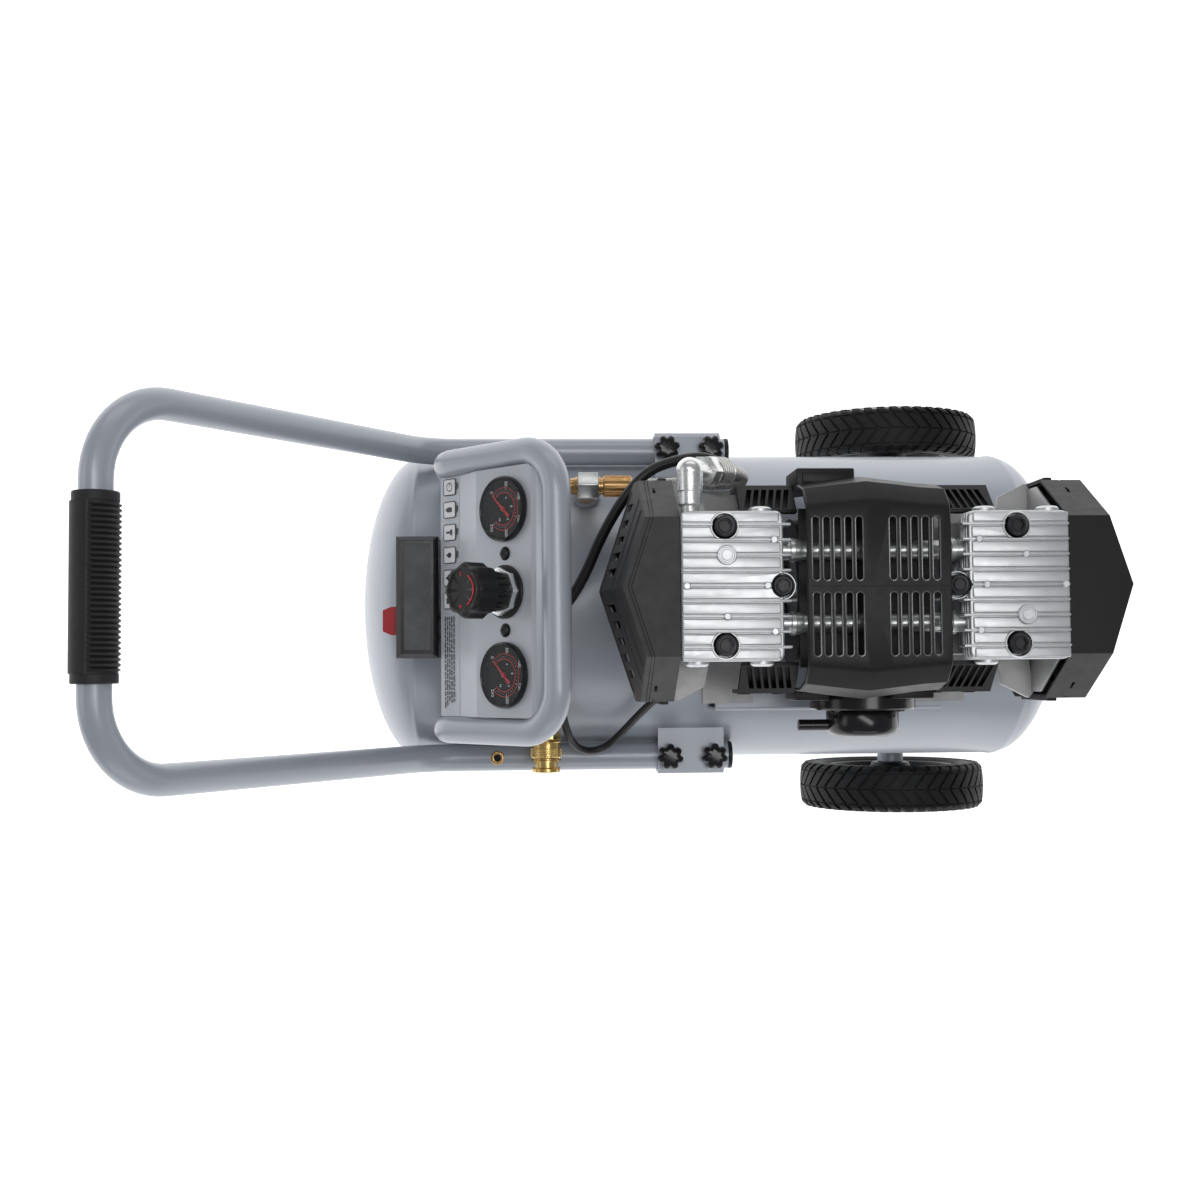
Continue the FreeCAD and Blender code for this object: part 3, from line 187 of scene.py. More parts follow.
MATERIALS["clear_lens"] = clear_lens()
PAINT_FINISHES = {
    "dial_black": dict(colour=(0.006, 0.006, 0.006), roughness=0.7, cloud=200, grain=2500,
                       specular=0.1),
    "panel_satin": dict(colour=(0.50, 0.53, 0.57), roughness=0.45, metallic=0.30, coat=0.1,
                        coat_roughness=0.4, tint=0.03, cloud=8, grain=800, depth=0.03),
    "print_white": dict(colour=(0.75, 0.76, 0.76), roughness=0.5, tint=0.05, grain=2500),
    "print_red": dict(colour=(0.66, 0.012, 0.016), roughness=0.45, tint=0.08, grain=2500),
    "label_grey": dict(colour=(0.78, 0.79, 0.81), roughness=0.42, tint=0.04, grain=1500),
    "print_dark": dict(colour=(0.05, 0.05, 0.055), roughness=0.5, tint=0.10, grain=2500),
    "hose_core": dict(colour=(0.05, 0.05, 0.05), roughness=0.5, grain=1500),
    # A lighter grey copy of the shroud plastic for the front shroud only: painted light.
    "shroud_lit_grey": dict(colour=(0.030, 0.030, 0.031), roughness=0.52, tint=0.10, cloud=40,
                        grain=1400, depth=0.04, specular=0.4),
    "cast_bright": dict(colour=(0.78, 0.78, 0.77), roughness=0.30, metallic=0.85, tint=0.06,
                        cloud=140, wander=0.08, grain=420, depth=0.22),
    "gold_brass": dict(colour=(0.74, 0.52, 0.20), roughness=0.26, metallic=0.95, tint=0.10,
                       cloud=120, grain=1200, depth=0.03),
    "rim_black": dict(colour=(0.010, 0.010, 0.010), roughness=0.30, cloud=60, grain=900,
                      depth=0.03, specular=0.4),
    # A darker copy of the cast aluminium for the crankcases and the walls beside the rear shroud:
    # painted shade.
    "casting_shade_grey": dict(colour=(0.42, 0.42, 0.42), roughness=0.50, metallic=0.6, tint=0.08,
                         cloud=60, grain=700, depth=0.12),
    # Slot rims: a real gloss coat, and a grey lighter than the cover's black that is a painted
    # highlight along the rims.
    "rim_gloss_highlight": dict(colour=(0.10, 0.10, 0.10), roughness=0.16, coat=0.8, cloud=90, grain=900,
                      depth=0.01),
    "nut_plate": dict(colour=(0.60, 0.61, 0.60), roughness=0.30, metallic=0.9, cloud=100,
                      grain=900, depth=0.05),
    # Matt black for painted shade inside a hole.
    "hole_shade_black": dict(colour=(0.006, 0.006, 0.006), roughness=0.8, grain=900),
}
PAINTS = {name: surface(name, **finish) for name, finish in PAINT_FINISHES.items()}

# --- mesh helpers


def shape(points, faces):
    """A bmesh from points in millimetres and faces of point numbers."""
    made = bmesh.new()
    verts = [made.verts.new(Vector(p) * MM) for p in points]
    for face in faces:
        made.faces.new([verts[i] for i in face])
    return made


def joined(*parts):
    """One bmesh that holds several, which are used up."""
    made = bmesh.new()
    for part in parts:
        mesh = bpy.data.meshes.new("part")
        part.to_mesh(mesh)
        part.free()
        made.from_mesh(mesh)
        bpy.data.meshes.remove(mesh)
    return made


def placed(part, matrix):
    """Move a bmesh by a matrix whose translation is in metres."""
    bmesh.ops.transform(part, matrix=matrix, verts=part.verts)
    return part


def at(x, y, z):
    return Matrix.Translation(Vector((x, y, z)) * MM)


def turn(degrees, axis):
    return Matrix.Rotation(math.radians(degrees), 4, axis)


def loft(rings, closed=True, caps=True):
    """Skin a row of rings with the same number of points each."""
    count = len(rings[0])
    points = [p for ring in rings for p in ring]
    faces = []
    for r in range(len(rings) - 1):
        for i in range(count if closed else count - 1):
            j = (i + 1) % count
            faces.append((r * count + i, r * count + j, (r + 1) * count + j, (r + 1) * count + i))
    if caps:
        faces.append(tuple(reversed(range(count))))
        faces.append(tuple(range((len(rings) - 1) * count, len(rings) * count)))
    made = shape(points, faces)
    bmesh.ops.recalc_face_normals(made, faces=made.faces)
    return made


def circle(radius, count=48, height=0.0, phase=0.0):
    return [(radius * math.cos(phase + 2 * math.pi * i / count),
             radius * math.sin(phase + 2 * math.pi * i / count), height) for i in range(count)]


def lathe(profile, count=64):
    """Turn a profile of (height, radius) points about Z; ends at radius 0 are closed."""
    made = loft([circle(max(radius, 0.01), count, height) for height, radius in profile])
    bmesh.ops.remove_doubles(made, verts=made.verts, dist=0.02 * MM)
    return made


def ring_lathe(profile, count=64):
    """Turn a closed profile of (height, radius) points about Z, as for a ring or a tyre."""
    rings = [circle(radius, count, height) for height, radius in profile]
    return loft(rings + rings[:1], caps=False)


def prism(outline, low, high):
    """An outline of (x, y) points pulled from one height to another."""
    return loft([[(x, y, low) for x, y in outline], [(x, y, high) for x, y in outline]])


def block(low, high):
    (x0, y0, z0), (x1, y1, z1) = low, high
    return prism([(x0, y0), (x1, y0), (x1, y1), (x0, y1)], z0, z1)


def side_block(side, low, high):
    """A block given for the +Y side, on the side that is 1 or -1."""
    (x0, y0, z0), (x1, y1, z1) = low, high
    return block((x0, min(side * y0, side * y1), z0), (x1, max(side * y0, side * y1), z1))


def rounded(part, width, segments=2, angle=30):
    """Round the edges of a bmesh that are sharper than an angle."""
    limit = math.radians(angle)
    edges = [e for e in part.edges if len(e.link_faces) == 2 and e.calc_face_angle(0) > limit]
    bmesh.ops.bevel(part, geom=edges, offset=width * MM, offset_type="OFFSET",
                    segments=segments, profile=0.5, affect="EDGES", clamp_overlap=True)
    return part


def rounded_outline(width, height, radius, steps=5):
    """A rounded rectangle about the origin."""
    points = []
    for quarter, (sx, sy) in enumerate([(1, 1), (-1, 1), (-1, -1), (1, -1)]):
        for i in range(steps + 1):
            angle = math.pi / 2 * (quarter + i / steps)
            points.append((sx * (width / 2 - radius) + radius * math.cos(angle),
                           sy * (height / 2 - radius) + radius * math.sin(angle)))
    return points


def directions(path):
    """The direction of a path at each of its points."""
    out = []
    for i in range(len(path)):
        before = path[max(i - 1, 0)]
        after = path[min(i + 1, len(path) - 1)]
        out.append((after - before).normalized())
    return out


def tube(path, radius, count=24, caps=True):
    """A round tube along points in millimetres; radius is a number or a function of the share."""
    path = [Vector(p) for p in path]
    along = directions(path)
    side = along[0].orthogonal().normalized()
    rings = []
    for i, (point, direction) in enumerate(zip(path, along)):
        side = (side - direction * side.dot(direction)).normalized()
        other = direction.cross(side)
        size = radius(i / (len(path) - 1)) if callable(radius) else radius
        rings.append([point + (side * math.cos(a) + other * math.sin(a)) * size
                      for a in (2 * math.pi * k / count for k in range(count))])
    return loft(rings, caps=caps)


def evaluated_mesh(holder):
    """The mesh of an object after its modifiers, or of a curve or text."""
    graph = bpy.context.evaluated_depsgraph_get()
    return bpy.data.meshes.new_from_object(holder.evaluated_get(graph))


def combined(base, operation, *tools):
    """Cut bmeshes out of another one, or keep only what it shares with them."""
    objects = []
    for part in (base, joined(*tools)):
        mesh = bpy.data.meshes.new("carving")
        part.to_mesh(mesh)
        part.free()
        made = bpy.data.objects.new("carving", mesh)
        bpy.context.scene.collection.objects.link(made)
        objects.append(made)
    cut = objects[0].modifiers.new("cut", "BOOLEAN")
    cut.operation = operation
    cut.object = objects[1]
    cut.solver = "EXACT"
    cut.use_self = True
    mesh = evaluated_mesh(objects[0])
    result = bmesh.new()
    result.from_mesh(mesh)
    for made in objects:
        old = made.data
        bpy.data.objects.remove(made)
        bpy.data.meshes.remove(old)
    bpy.data.meshes.remove(mesh)
    return result


def carved(base, *cutters):
    return combined(base, "DIFFERENCE", *cutters)


def finished(name, mesh, material, body, angle=32):
    """Link a mesh as a piece of the object, smooth below an angle, on its body."""
    mesh.materials.clear()
    mesh.materials.append(material)
    for face in mesh.polygons:
        face.use_smooth = True
        face.material_index = 0
    mesh.set_sharp_from_angle(angle=math.radians(angle))
    made = bpy.data.objects.new(name, mesh)
    bpy.context.scene.collection.objects.link(made)
    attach(made, body)
    return made


def piece(name, part, slot, body="frame", paint=None, stands_for=(), angle=32):
    """A bmesh becomes a piece of the object."""
    mesh = bpy.data.meshes.new(name)
    part.to_mesh(mesh)
    part.free()
    material = PAINTS[paint] if paint else MATERIALS[slot]
    made = finished(name, mesh, material, body, angle)
    if stands_for:
        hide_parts(*([stands_for] if isinstance(stands_for, str) else stands_for))
    return made


def cad_mesh(node_name):
    """A welded copy of a CAD node's mesh, with its flat faces whole."""
    part = bmesh.new()
    part.from_mesh(frame["nodes"][node_name].data)
    bmesh.ops.remove_doubles(part, verts=part.verts, dist=0.005 * MM)
    bmesh.ops.dissolve_limit(part, angle_limit=math.radians(0.8), verts=part.verts,
                             edges=part.edges, delimit={"NORMAL"})
    return part


def round_edges(made, width, angle, segments=2):
    """Round an object's edges that are sharper than an angle, with a modifier."""
    bevel = made.modifiers.new("edges", "BEVEL")
    bevel.width = width * MM
    bevel.segments = segments
    bevel.limit_method = "ANGLE"
    bevel.angle_limit = math.radians(angle)
    bevel.use_clamp_overlap = True
    bevel.harden_normals = True


def softened(node_name, width, paint=None, angle=32):
    """Replace a CAD node by its own shape with rounded edges."""
    made = piece(f"{node_name}_shape", cad_mesh(node_name), SLOT_OF[node_name],
                 BODY_OF[node_name], paint, stands_for=node_name, angle=angle)
    round_edges(made, width, angle)


# --- finish of the plain CAD nodes

for name, cad_node in frame["nodes"].items():
    cad_node.data.materials.clear()
    cad_node.data.materials.append(MATERIALS[SLOT_OF[name]])

EDGE_WIDTHS = {
    "handle_brackets": 0.9, "axle_brackets": 0.8, "foot_bracket": 1.0, "pressure_switch": 1.2,
    "saddle_plate": 0.9, "crankcases": 1.2, "cylinder_sleeves": 0.5, "handle_end_plugs": 1.0,
    "rubber_feet": 1.0, "rubber_mounts": 0.8, "switch_knob": 1.2, "safety_valve_body": 0.5,
    "drain_valve": 0.6, "air_manifold": 1.0, "wheel_axle": 0.8, "hub_left": 1.2, "hub_right": 1.2,
}
# The crankcases take the darker casting grey, which is painted shade.
for name, width in EDGE_WIDTHS.items():
    softened(name, width, paint="casting_shade_grey" if name == "crankcases" else None)

# --- cords

HOSE_ROUTE = [(66.27, 93.84, 550.97), (79.42, 95.81, 533.44), (89, 94.5, 500), (80, 97, 467),
              (55, 98.5, 443), (27, 98, 435), (1.3, 97.6, 435)]
SWITCH_LEAD = [(-165, -14, 438), (-128, -18, 436), (-92, -22, 437), (-62, -14, 441),
               (-42, 16, 446), (-27, 52, 455), (-8, 84, 463), (12, 107, 465), (36, 116, 463),
               (59, 120, 460), (77, 115, 456), (89, 105, 454), (96, 90, 458), (96, 72, 463),
               (96, 52.1, 463)]
MOTOR_LEAD = [(-165, -34, 438), (-128, -36, 436), (-96, -48, 430), (-73, -68, 420),
              (-62, -92, 409), (-57, -114, 396), (-51, -129, 379), (-38, -137, 366),
              (-20, -134, 362), (-6, -120, 371), (9, -102, 393), (24, -86, 416),
              (40, -72, 434)]


def lead_curve(name, route, radius):
    """A NURBS line whose control points are the lead's route."""
    curve = bpy.data.curves.new(name, "CURVE")
    curve.dimensions = "3D"
    curve.resolution_u = 16
    spline = curve.splines.new("NURBS")
    spline.points.add(len(route) - 1)
    for point, place in zip(spline.points, route):
        point.co = (*(Vector(place) * MM), 1)
    spline.order_u = 3
    spline.use_endpoint_u = True
    curve.bevel_depth = radius * MM
    curve.bevel_resolution = 8
    curve.use_fill_caps = True
    return curve


def centre_line(name, route):
    """The points that a route's NURBS line passes through, in metres."""
    curve = lead_curve(name, route, 0)
    holder = bpy.data.objects.new(name, curve)
    bpy.context.scene.collection.objects.link(holder)
    mesh = evaluated_mesh(holder)
    line = [vertex.co.copy() for vertex in mesh.vertices]
    bpy.data.objects.remove(holder)
    bpy.data.curves.remove(curve)
    bpy.data.meshes.remove(mesh)
    return line


def black_lead(name, route, radius, stands_for):
    """A rubber lead along a route, held at both ends by the object."""
    line = centre_line(f"{name}_line", route)
    made = bpy.data.objects.new(name, lead_curve(name, route, radius))
    made.data.materials.append(MATERIALS["cable_rubber"])
    bpy.context.scene.collection.objects.link(made)
    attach(made, "frame")
    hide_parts(stands_for)


black_lead("switch_lead", SWITCH_LEAD, 4.6, "switch_cable")
black_lead("motor_lead", MOTOR_LEAD, 3.4, "motor_cable")


def strand(line, turns, start, hand, radius, thickness):
    """A wire that winds round a line."""
    along = directions(line)
    side = along[0].orthogonal().normalized()
    points = []
    for i, (point, direction) in enumerate(zip(line, along)):
        side = (side - direction * side.dot(direction)).normalized()
        other = direction.cross(side)
        angle = start + hand * 2 * math.pi * turns * i / (len(line) - 1)
        points.append(point + (side * math.cos(angle) + other * math.sin(angle)) * radius)
    return tube(points, thickness, 6)


def evenly(line, step):
    """Points along a line, a step apart."""
    out = [line[0]]
    left = step
    for a, b in zip(line, line[1:]):
        length = (b - a).length
        while length >= left:
            a = a + (b - a).normalized() * left
            length -= left
            left = step
            out.append(a)
        left -= length
    return out + [line[-1]]


hose_line = centre_line("hose_line", HOSE_ROUTE)
hose_points = evenly([p / MM for p in hose_line], 1.6)
hose = piece("discharge_hose_core", tube(hose_points, 5.75, 32), "braided_steel", paint="hose_core",
             stands_for="discharge_hose")
wires = [strand(hose_points, 6, 2 * math.pi * k / 12, hand, 5.85, 0.55)
         for k in range(12) for hand in (-1, 1)]
braid = piece("discharge_hose_braid", joined(*wires), "braided_steel", angle=60)

# --- bent tubes


def bent_path(points, radii, steps=14):
    """Points along straight runs joined by arcs, as a tube bender makes them."""
    points = [Vector(p) for p in points]
    path = [points[0]]
    for before, corner, after, radius in zip(points, points[1:], points[2:], radii):
        incoming = (corner - before).normalized()
        outgoing = (after - corner).normalized()
        whole = incoming.angle(outgoing)
        reach = radius * math.tan(whole / 2)
        centre = corner + (outgoing - incoming).normalized() * (radius / math.cos(whole / 2))
        arm = corner - incoming * reach - centre
        axis = incoming.cross(outgoing).normalized()
        path += [centre + Matrix.Rotation(whole * i / steps, 3, axis) @ arm
                 for i in range(steps + 1)]
    path.append(points[-1])
    dense = [path[0]]
    for a, b in zip(path, path[1:]):
        extra = max(int((b - a).length / 30), 1)
        dense += [a.lerp(b, (k + 1) / extra) for k in range(extra)]
    return dense


def both_sides(points):
    """A path with its mirror image across the middle, from +Y to -Y."""
    return points + [(x, -y, z) for x, y, z in reversed(points)]


TUBE_SIDE = 142.5
TUBE_HEIGHT = 337
HANDLE = bent_path(both_sides([(95, TUBE_SIDE, TUBE_HEIGHT), (-182, TUBE_SIDE, TUBE_HEIGHT),
                               (-402, TUBE_SIDE, 631)]), [60, 64, 64, 60])
HOOP = bent_path(both_sides([(-158, 111, 340), (-158, 111, 478), (-67.5, 111, 575)]),
                 [28, 36, 36, 28])

piece("handle_tube_bent", tube(HANDLE, 12.5, 56), "painted_silver", "handle",
      stands_for="handle_tube")
piece("guard_hoop_bent", tube(HOOP, 11, 52), "painted_silver", stands_for="guard_hoop")

insert_ring = ring_lathe([(0, 3.2), (1.0, 3.2), (1.3, 4.0), (1.0, 5.6), (0, 6.4)], 32)
piece("handle_insert", placed(insert_ring, at(-119, -TUBE_SIDE, TUBE_HEIGHT + 12.0)),
      "brass", "handle")
# A matt black disc in the insert's hole: painted shade inside the hole.
insert_hole_shade = lathe([(0, 3.3), (0.5, 3.3)], 24)
piece("handle_insert_hole_shade", placed(insert_hole_shade, at(-119, -TUBE_SIDE, TUBE_HEIGHT + 12.1)),
      "painted_silver", "handle", paint="hole_shade_black")

# --- tank

TANK_MIDDLE = 86.5
TANK_AXIS = 263
TANK_RADIUS = 147
DOME = 56
HALF_RUN = 278


def tank_profile():
    """From one dome to the other, with a low weld bead where each dome is let in."""
    half = [(HALF_RUN + DOME * math.cos(a), TANK_RADIUS * math.sin(a))
            for a in (math.pi / 2 * i / 28 for i in range(28))]
    bead = [(HALF_RUN + 3.5, TANK_RADIUS - 0.3), (HALF_RUN + 2.2, TANK_RADIUS + 0.6),
            (HALF_RUN, TANK_RADIUS + 0.9), (HALF_RUN - 2.2, TANK_RADIUS + 0.6),
            (HALF_RUN - 3.5, TANK_RADIUS)]
    run = [(HALF_RUN * k / 6, TANK_RADIUS) for k in range(5, 0, -1)]
    side = half[:-1] + bead + run
    return [(-x, r) for x, r in side] + [(0, TANK_RADIUS)] + [(x, r) for x, r in reversed(side)]


def boss(x, y, low, high, radius):
    """A round welded socket with a chamfered top."""
    return placed(lathe([(0, radius), (high - low - 1.5, radius), (high - low, radius - 1.5),
                         (high - low, 0)], 40), at(x, y, low))


tank = placed(lathe(tank_profile(), 144), at(TANK_MIDDLE, 0, TANK_AXIS) @ turn(90, "Y"))
bosses = [boss(-37, 97.6, 364, 386, 13), boss(-118, -62, 384, 404, 12), boss(-78.7, 0, 402, 416, 14),
          placed(boss(0, 0, 0, 10, 12), at(40, 0, 122) @ turn(180, "X"))]
piece("air_tank_shell", joined(tank, *bosses), "painted_silver", stands_for="air_tank", angle=40)

# --- handle grip

GRIP_HALF = 69.5
GRIP_RADIUS = 18.5
RIB_PITCH = 4.0


def grip_radius(angle, y):
    """Collars at the ends, a raised band outboard and ribs inboard of it."""
    inboard = math.cos(angle)
    if abs(y) > 62:
        return 17.0
    if inboard < -0.15:
        return GRIP_RADIUS - 0.3
    if abs(y) > 60 or inboard < 0.05:
        return 16.6
    wave = 0.5 + 0.5 * math.cos(2 * math.pi * y / RIB_PITCH)
    return 16.4 + 2.0 * wave ** 0.8


def grip():
    """The rubber sleeve, along Y, with its ribs towards +X."""
    rings = []
    count = 72
    steps = [-GRIP_HALF, -GRIP_HALF + 0.8] + [-68 + 0.5 * k for k in range(273)] + [
        GRIP_HALF - 0.8, GRIP_HALF]
    for k, y in enumerate(steps):
        rounding = 0.8 if k in (0, len(steps) - 1) else 0
        ring = []
        for i in range(count):
            angle = 2 * math.pi * i / count
            radius = grip_radius(angle, y) - rounding
            ring.append((radius * math.cos(angle), y, radius * math.sin(angle)))
        rings.append(ring)
    return loft(rings)


piece("handle_grip_ribbed", placed(grip(), at(*GRIP_PLACE)), "soft_rubber",
      "handle", stands_for="handle_grip", angle=50)

# --- cylinder heads

HEAD_START = 25.5
DECK_END = 103.5
HEAD_END = 114.5
HEAD_SIDE = 57
DECK_TOP = 607
DECK_BASE = 603
HEAD_BASE = 584
PORT_LEVEL = 594
SCREW_WAY = 9.4
RIDGE_PITCH = 11.6


def head_strip(x0, x1, y0, y1):
    """The smooth deck between two ridges."""
    return rounded(block((x0, y0, DECK_BASE), (x1, y1, DECK_TOP)), 1.1, 3)


def head_ridge(y):
    """A thin fin that runs over the deck and ends in a finger beyond it."""
    fin = block((HEAD_START + 0.5, y - 1.0, PORT_LEVEL),
                (HEAD_END - 5.5, y + 1.0, DECK_TOP + 1.6))
    return rounded(fin, 0.8, 3)


def round_boss(x, y, radius, height):
    """A cast boss on a head's deck; a wide one has a raised rim."""
    return placed(lathe([(0, radius), (height - 1.0, radius), (height, radius - 0.8),
                         (height, radius - 1.6), (height - 0.8, radius - 2.2),
                         (height - 0.8, 4.4), (height, 3.8), (height, 0)] if radius > 4 else
                        [(0, radius), (height - 0.8, radius), (height, radius - 0.8),
                         (height, 0)], 36), at(x, y, DECK_BASE))


def side_plug(x, side):
    """A round plug in a head's flank."""
    plug = lathe([(0, 9), (3.2, 9), (4.6, 7.4), (5.0, 5.6), (4.2, 5.0), (4.2, 0)], 40)
    return placed(plug, at(x, side * (HEAD_SIDE - 1), PORT_LEVEL) @ turn(-90 * side, "X"))


def seat_level(y):
    """Where a screw's seat starts; the middle screw sits lower than the others."""
    return 600 if y else 592


def head(screws):
    """A head at the front end; the rear one is turned half a turn afterwards."""
    middle = at((HEAD_START + DECK_END) / 2, 0, 0)
    length = DECK_END - HEAD_START
    layers = [rounded(placed(prism(rounded_outline(length, 2 * HEAD_SIDE, 5), z, z + 3.2), middle),
                      0.8, 2) for z in (HEAD_BASE, HEAD_BASE + 6, HEAD_BASE + 12)]
    core = placed(prism(rounded_outline(length - 6, 2 * HEAD_SIDE - 9, 5), HEAD_BASE, 604),
                  middle)
    deck = rounded(placed(prism(rounded_outline(length, 2 * HEAD_SIDE, 6), 601.5, 605.6), middle),
                   1.8, 4)
    ridges = [RIDGE_PITCH * (i - 4) for i in range(9)]
    strips = [head_strip(HEAD_START + 0.5, DECK_END - 2.4, a + 1.5, b - 1.5)
              for a, b in zip(ridges, ridges[1:])]
    strips += [head_strip(HEAD_START + 0.5, DECK_END - 3.4, 48.0, 55.6),
               head_strip(HEAD_START + 0.5, DECK_END - 3.4, -55.6, -48.0)]
    ways = [placed(lathe([(0, SCREW_WAY), (24, SCREW_WAY)], 40), at(x, y, seat_level(y)))
            for x, y in screws]
    solid = carved(joined(core, deck, *layers, *strips, *[head_ridge(y) for y in ridges]), *ways)
    rims = [placed(ring_lathe([(0, SCREW_WAY), (7.2, SCREW_WAY), (8.0, 9.9), (8.0, 10.6), (7.0, 11.2),
                               (0, 11.2)], 40), at(x, y, seat_level(y))) for x, y in screws]
    seats = [placed(lathe([(0, 9.6), (1, 9.6)], 32), at(x, y, seat_level(y) - 1))
             for x, y in screws]
    bosses = [round_boss(59.9, 23.2, 7.6, 6.9)]
    bosses += [round_boss(x, y, 2.9, 6.6) for x, y in ((96, 34.8), (29.5, 0), (90.7, 0),
                                                       (59.9, -23.2), (95.9, -34.8))]
    plugs = [side_plug(87.7, 1), side_plug(87.7, -1), side_plug(38, -1)]
    return joined(solid, *rims, *seats, *bosses, *plugs)


def valve_plate():
    """The sheet under a head, with a gasket line round its edge."""
    middle = at((HEAD_START + DECK_END) / 2, 0, 0)
    length = DECK_END - HEAD_START
    steel = rounded(placed(prism(rounded_outline(length, 108, 4), 580.2, HEAD_BASE), middle),
                    0.4, 2)
    gasket = placed(prism(rounded_outline(length - 1.6, 106.4, 4), 579, 580.3), middle)
    return joined(steel, gasket)


HALF_TURN = at(2 * PUMP_MIDDLE, 0, 0) @ turn(180, "Z")
piece("valve_plates_flat", joined(valve_plate(), placed(valve_plate(), HALF_TURN)), "zinc_steel",
      stands_for="valve_plates")
FRONT_SCREWS = [(58.5, 45), (58.5, -45), (102.9, 0)]
REAR_SCREWS = [(66.5, 45), (66.5, -45), (110.7, 0)]
piece("head_front_cast", head(FRONT_SCREWS), "cast_aluminium", stands_for="cylinder_head_front")
piece("head_rear_cast", placed(head(REAR_SCREWS), HALF_TURN), "cast_aluminium",
      stands_for="cylinder_head_rear")


def socket_screw(x, y):
    """A black cap screw with a knurled head and a hexagon socket; the middle one sits lower."""
    sunk = -8 if y == 0 else 0
    count = 48
    outline = [((8.0 + 0.25 * (i % 2)) * math.cos(2 * math.pi * i / count),
                (8.0 + 0.25 * (i % 2)) * math.sin(2 * math.pi * i / count)) for i in range(count)]
    knurled = prism(outline, 605, 612.6)
    top = placed(ring_lathe([(0, 4.8), (1.2, 4.8), (1.5, 5.4), (1.5, 6.8), (0.4, 8.0), (0, 8.0)], 48),
                 at(0, 0, 612.5))
    socket = placed(prism([(4.6 * math.cos(a), 4.6 * math.sin(a))
                           for a in (math.pi / 3 * k for k in range(6))], 0, 4), at(0, 0, 609.5))
    return placed(carved(joined(knurled, top), socket), at(x, y, sunk))


def screw_shank(x, y):
    return placed(lathe([(0, 4), (20, 4)], 24), at(x, y, 586))


def at_every_screw(make):
    """What a function makes at the front head's screws and then at the rear head's."""
    return ([make(x, y) for x, y in FRONT_SCREWS]
            + [placed(make(x, y), HALF_TURN) for x, y in REAR_SCREWS])


piece("head_screws_socket",
      joined(*at_every_screw(socket_screw), *at_every_screw(screw_shank)), "black_steel",
      stands_for="head_screws")

# --- centre cover

COVER_START = 119.5
COVER_END = 229.5
COVER_CREST = 168
SECTION = [(80, 500), (80, 578), (74, 601), (62, 613), (58, 615)]


def cover_ring(x, inset):
    """The cover's section at a place along X; it is widest at the crest."""
    bulge = 1 + 0.08 * (1 - min(abs(x - COVER_CREST) / 50, 1)) ** 0.9
    side = [((y * bulge - inset * (1 if y > 60 else 0.4)), z - (inset if z > 560 else 0))
            for y, z in SECTION]
    return [(x, y, z) for y, z in side] + [(x, -y, z) for y, z in reversed(side)]


def cover_shell():
    """The cover's bent sheet, as one skin round its outer and inner section."""
    places = [COVER_START, COVER_START + 1, 135, 152, COVER_CREST - 1, COVER_CREST + 1, 184, 210,
              COVER_END - 1, COVER_END]
    rings = []
    for x in places:
        outer = cover_ring(x, 0.8 if x in (COVER_START, COVER_END) else 0)
        rings.append(outer + list(reversed(cover_ring(x, 2.6))))
    return loft(rings)


SLOT_WIDTH = 4.9
SLOT_ENDS = ((3.4, 51.3), (-53.5, -5.9))
SLOT_PLACES = [126.4 + 8.26 * i for i in range(5)] + [185.1 + 8.26 * i for i in range(5)]


def slot_outline(width, length):
    return rounded_outline(width, length, width / 2 - 0.01, 6)


def cover():
    """The moulded cover with its slots, corner box and skirts, a dark sheet of painted shade under the
    slots, and the slots' rims.
    """
    ways, rims = [], []
    for x in SLOT_PLACES:
        for start, end in SLOT_ENDS:
            place = at(x, (start + end) / 2, 0)
            ways.append(placed(prism(slot_outline(SLOT_WIDTH, end - start), 604, 620), place))
            rim = [Vector((a, b, 615.1)) for a, b in slot_outline(SLOT_WIDTH + 1.0, end - start + 1.0)]
            rims.append(placed(tube(rim + rim[:1], 0.6, 8, caps=False), place))
    seam = block((COVER_START - 1, -1.6, 613.9), (COVER_END + 1, -0.8, 617))
    mouth = placed(lathe([(0, 12), (30, 12)], 40), at(PUMP_MIDDLE + 9, -70, MOTOR_AXIS) @ turn(90, "X"))
    shell = carved(cover_shell(), *ways, seam, mouth)
    corner = rounded(block((119.5, 79, 530), (165.5, 93.7, 576)), 1.6, 3)
    lid = rounded(block((124, 82, 574), (161, 90.6, 577.4)), 0.8, 2)
    # A dark sheet under the slots: painted shade, where the inside of the pump is in shadow.
    slot_shade_sheet = block((121, -62, 572), (228, 62, 573.5))
    skirts = [rounded(block((x0, -y1, z0), (x1, -79, z1)), 1.2, 2)
              for x0, x1, y1, z0, z1 in ((120, 147, 88, 510, 556), (153, 171, 84, 545, 572),
                                         (196, 229, 87, 515, 562))]
    return joined(shell, corner, lid, slot_shade_sheet, *skirts), joined(*rims)


moulding, slot_rims = cover()
piece("centre_cover_moulded", moulding, "black_plastic", stands_for="centre_cover", angle=28)
# The rims' lighter grey is a painted highlight; their gloss is real.
piece("cover_slot_rims", slot_rims, "black_plastic", paint="rim_gloss_highlight")

# --- fan shrouds

PROW_TIP = -33
PROW_SHOULDER = -3
PROW_LEVEL = 530
PROW_LEAN = 0.196
PROW_SIDE = 92
FACE_SLOPE = 0.326


def leaning_prism(plan):
    """A plan that drifts towards +X above and below the prow's foremost level."""
    rings = [[(x + PROW_LEAN * abs(z - PROW_LEVEL), y, z) for x, y in plan]
             for z in (415, PROW_LEVEL, 612)]
    return loft(rings)


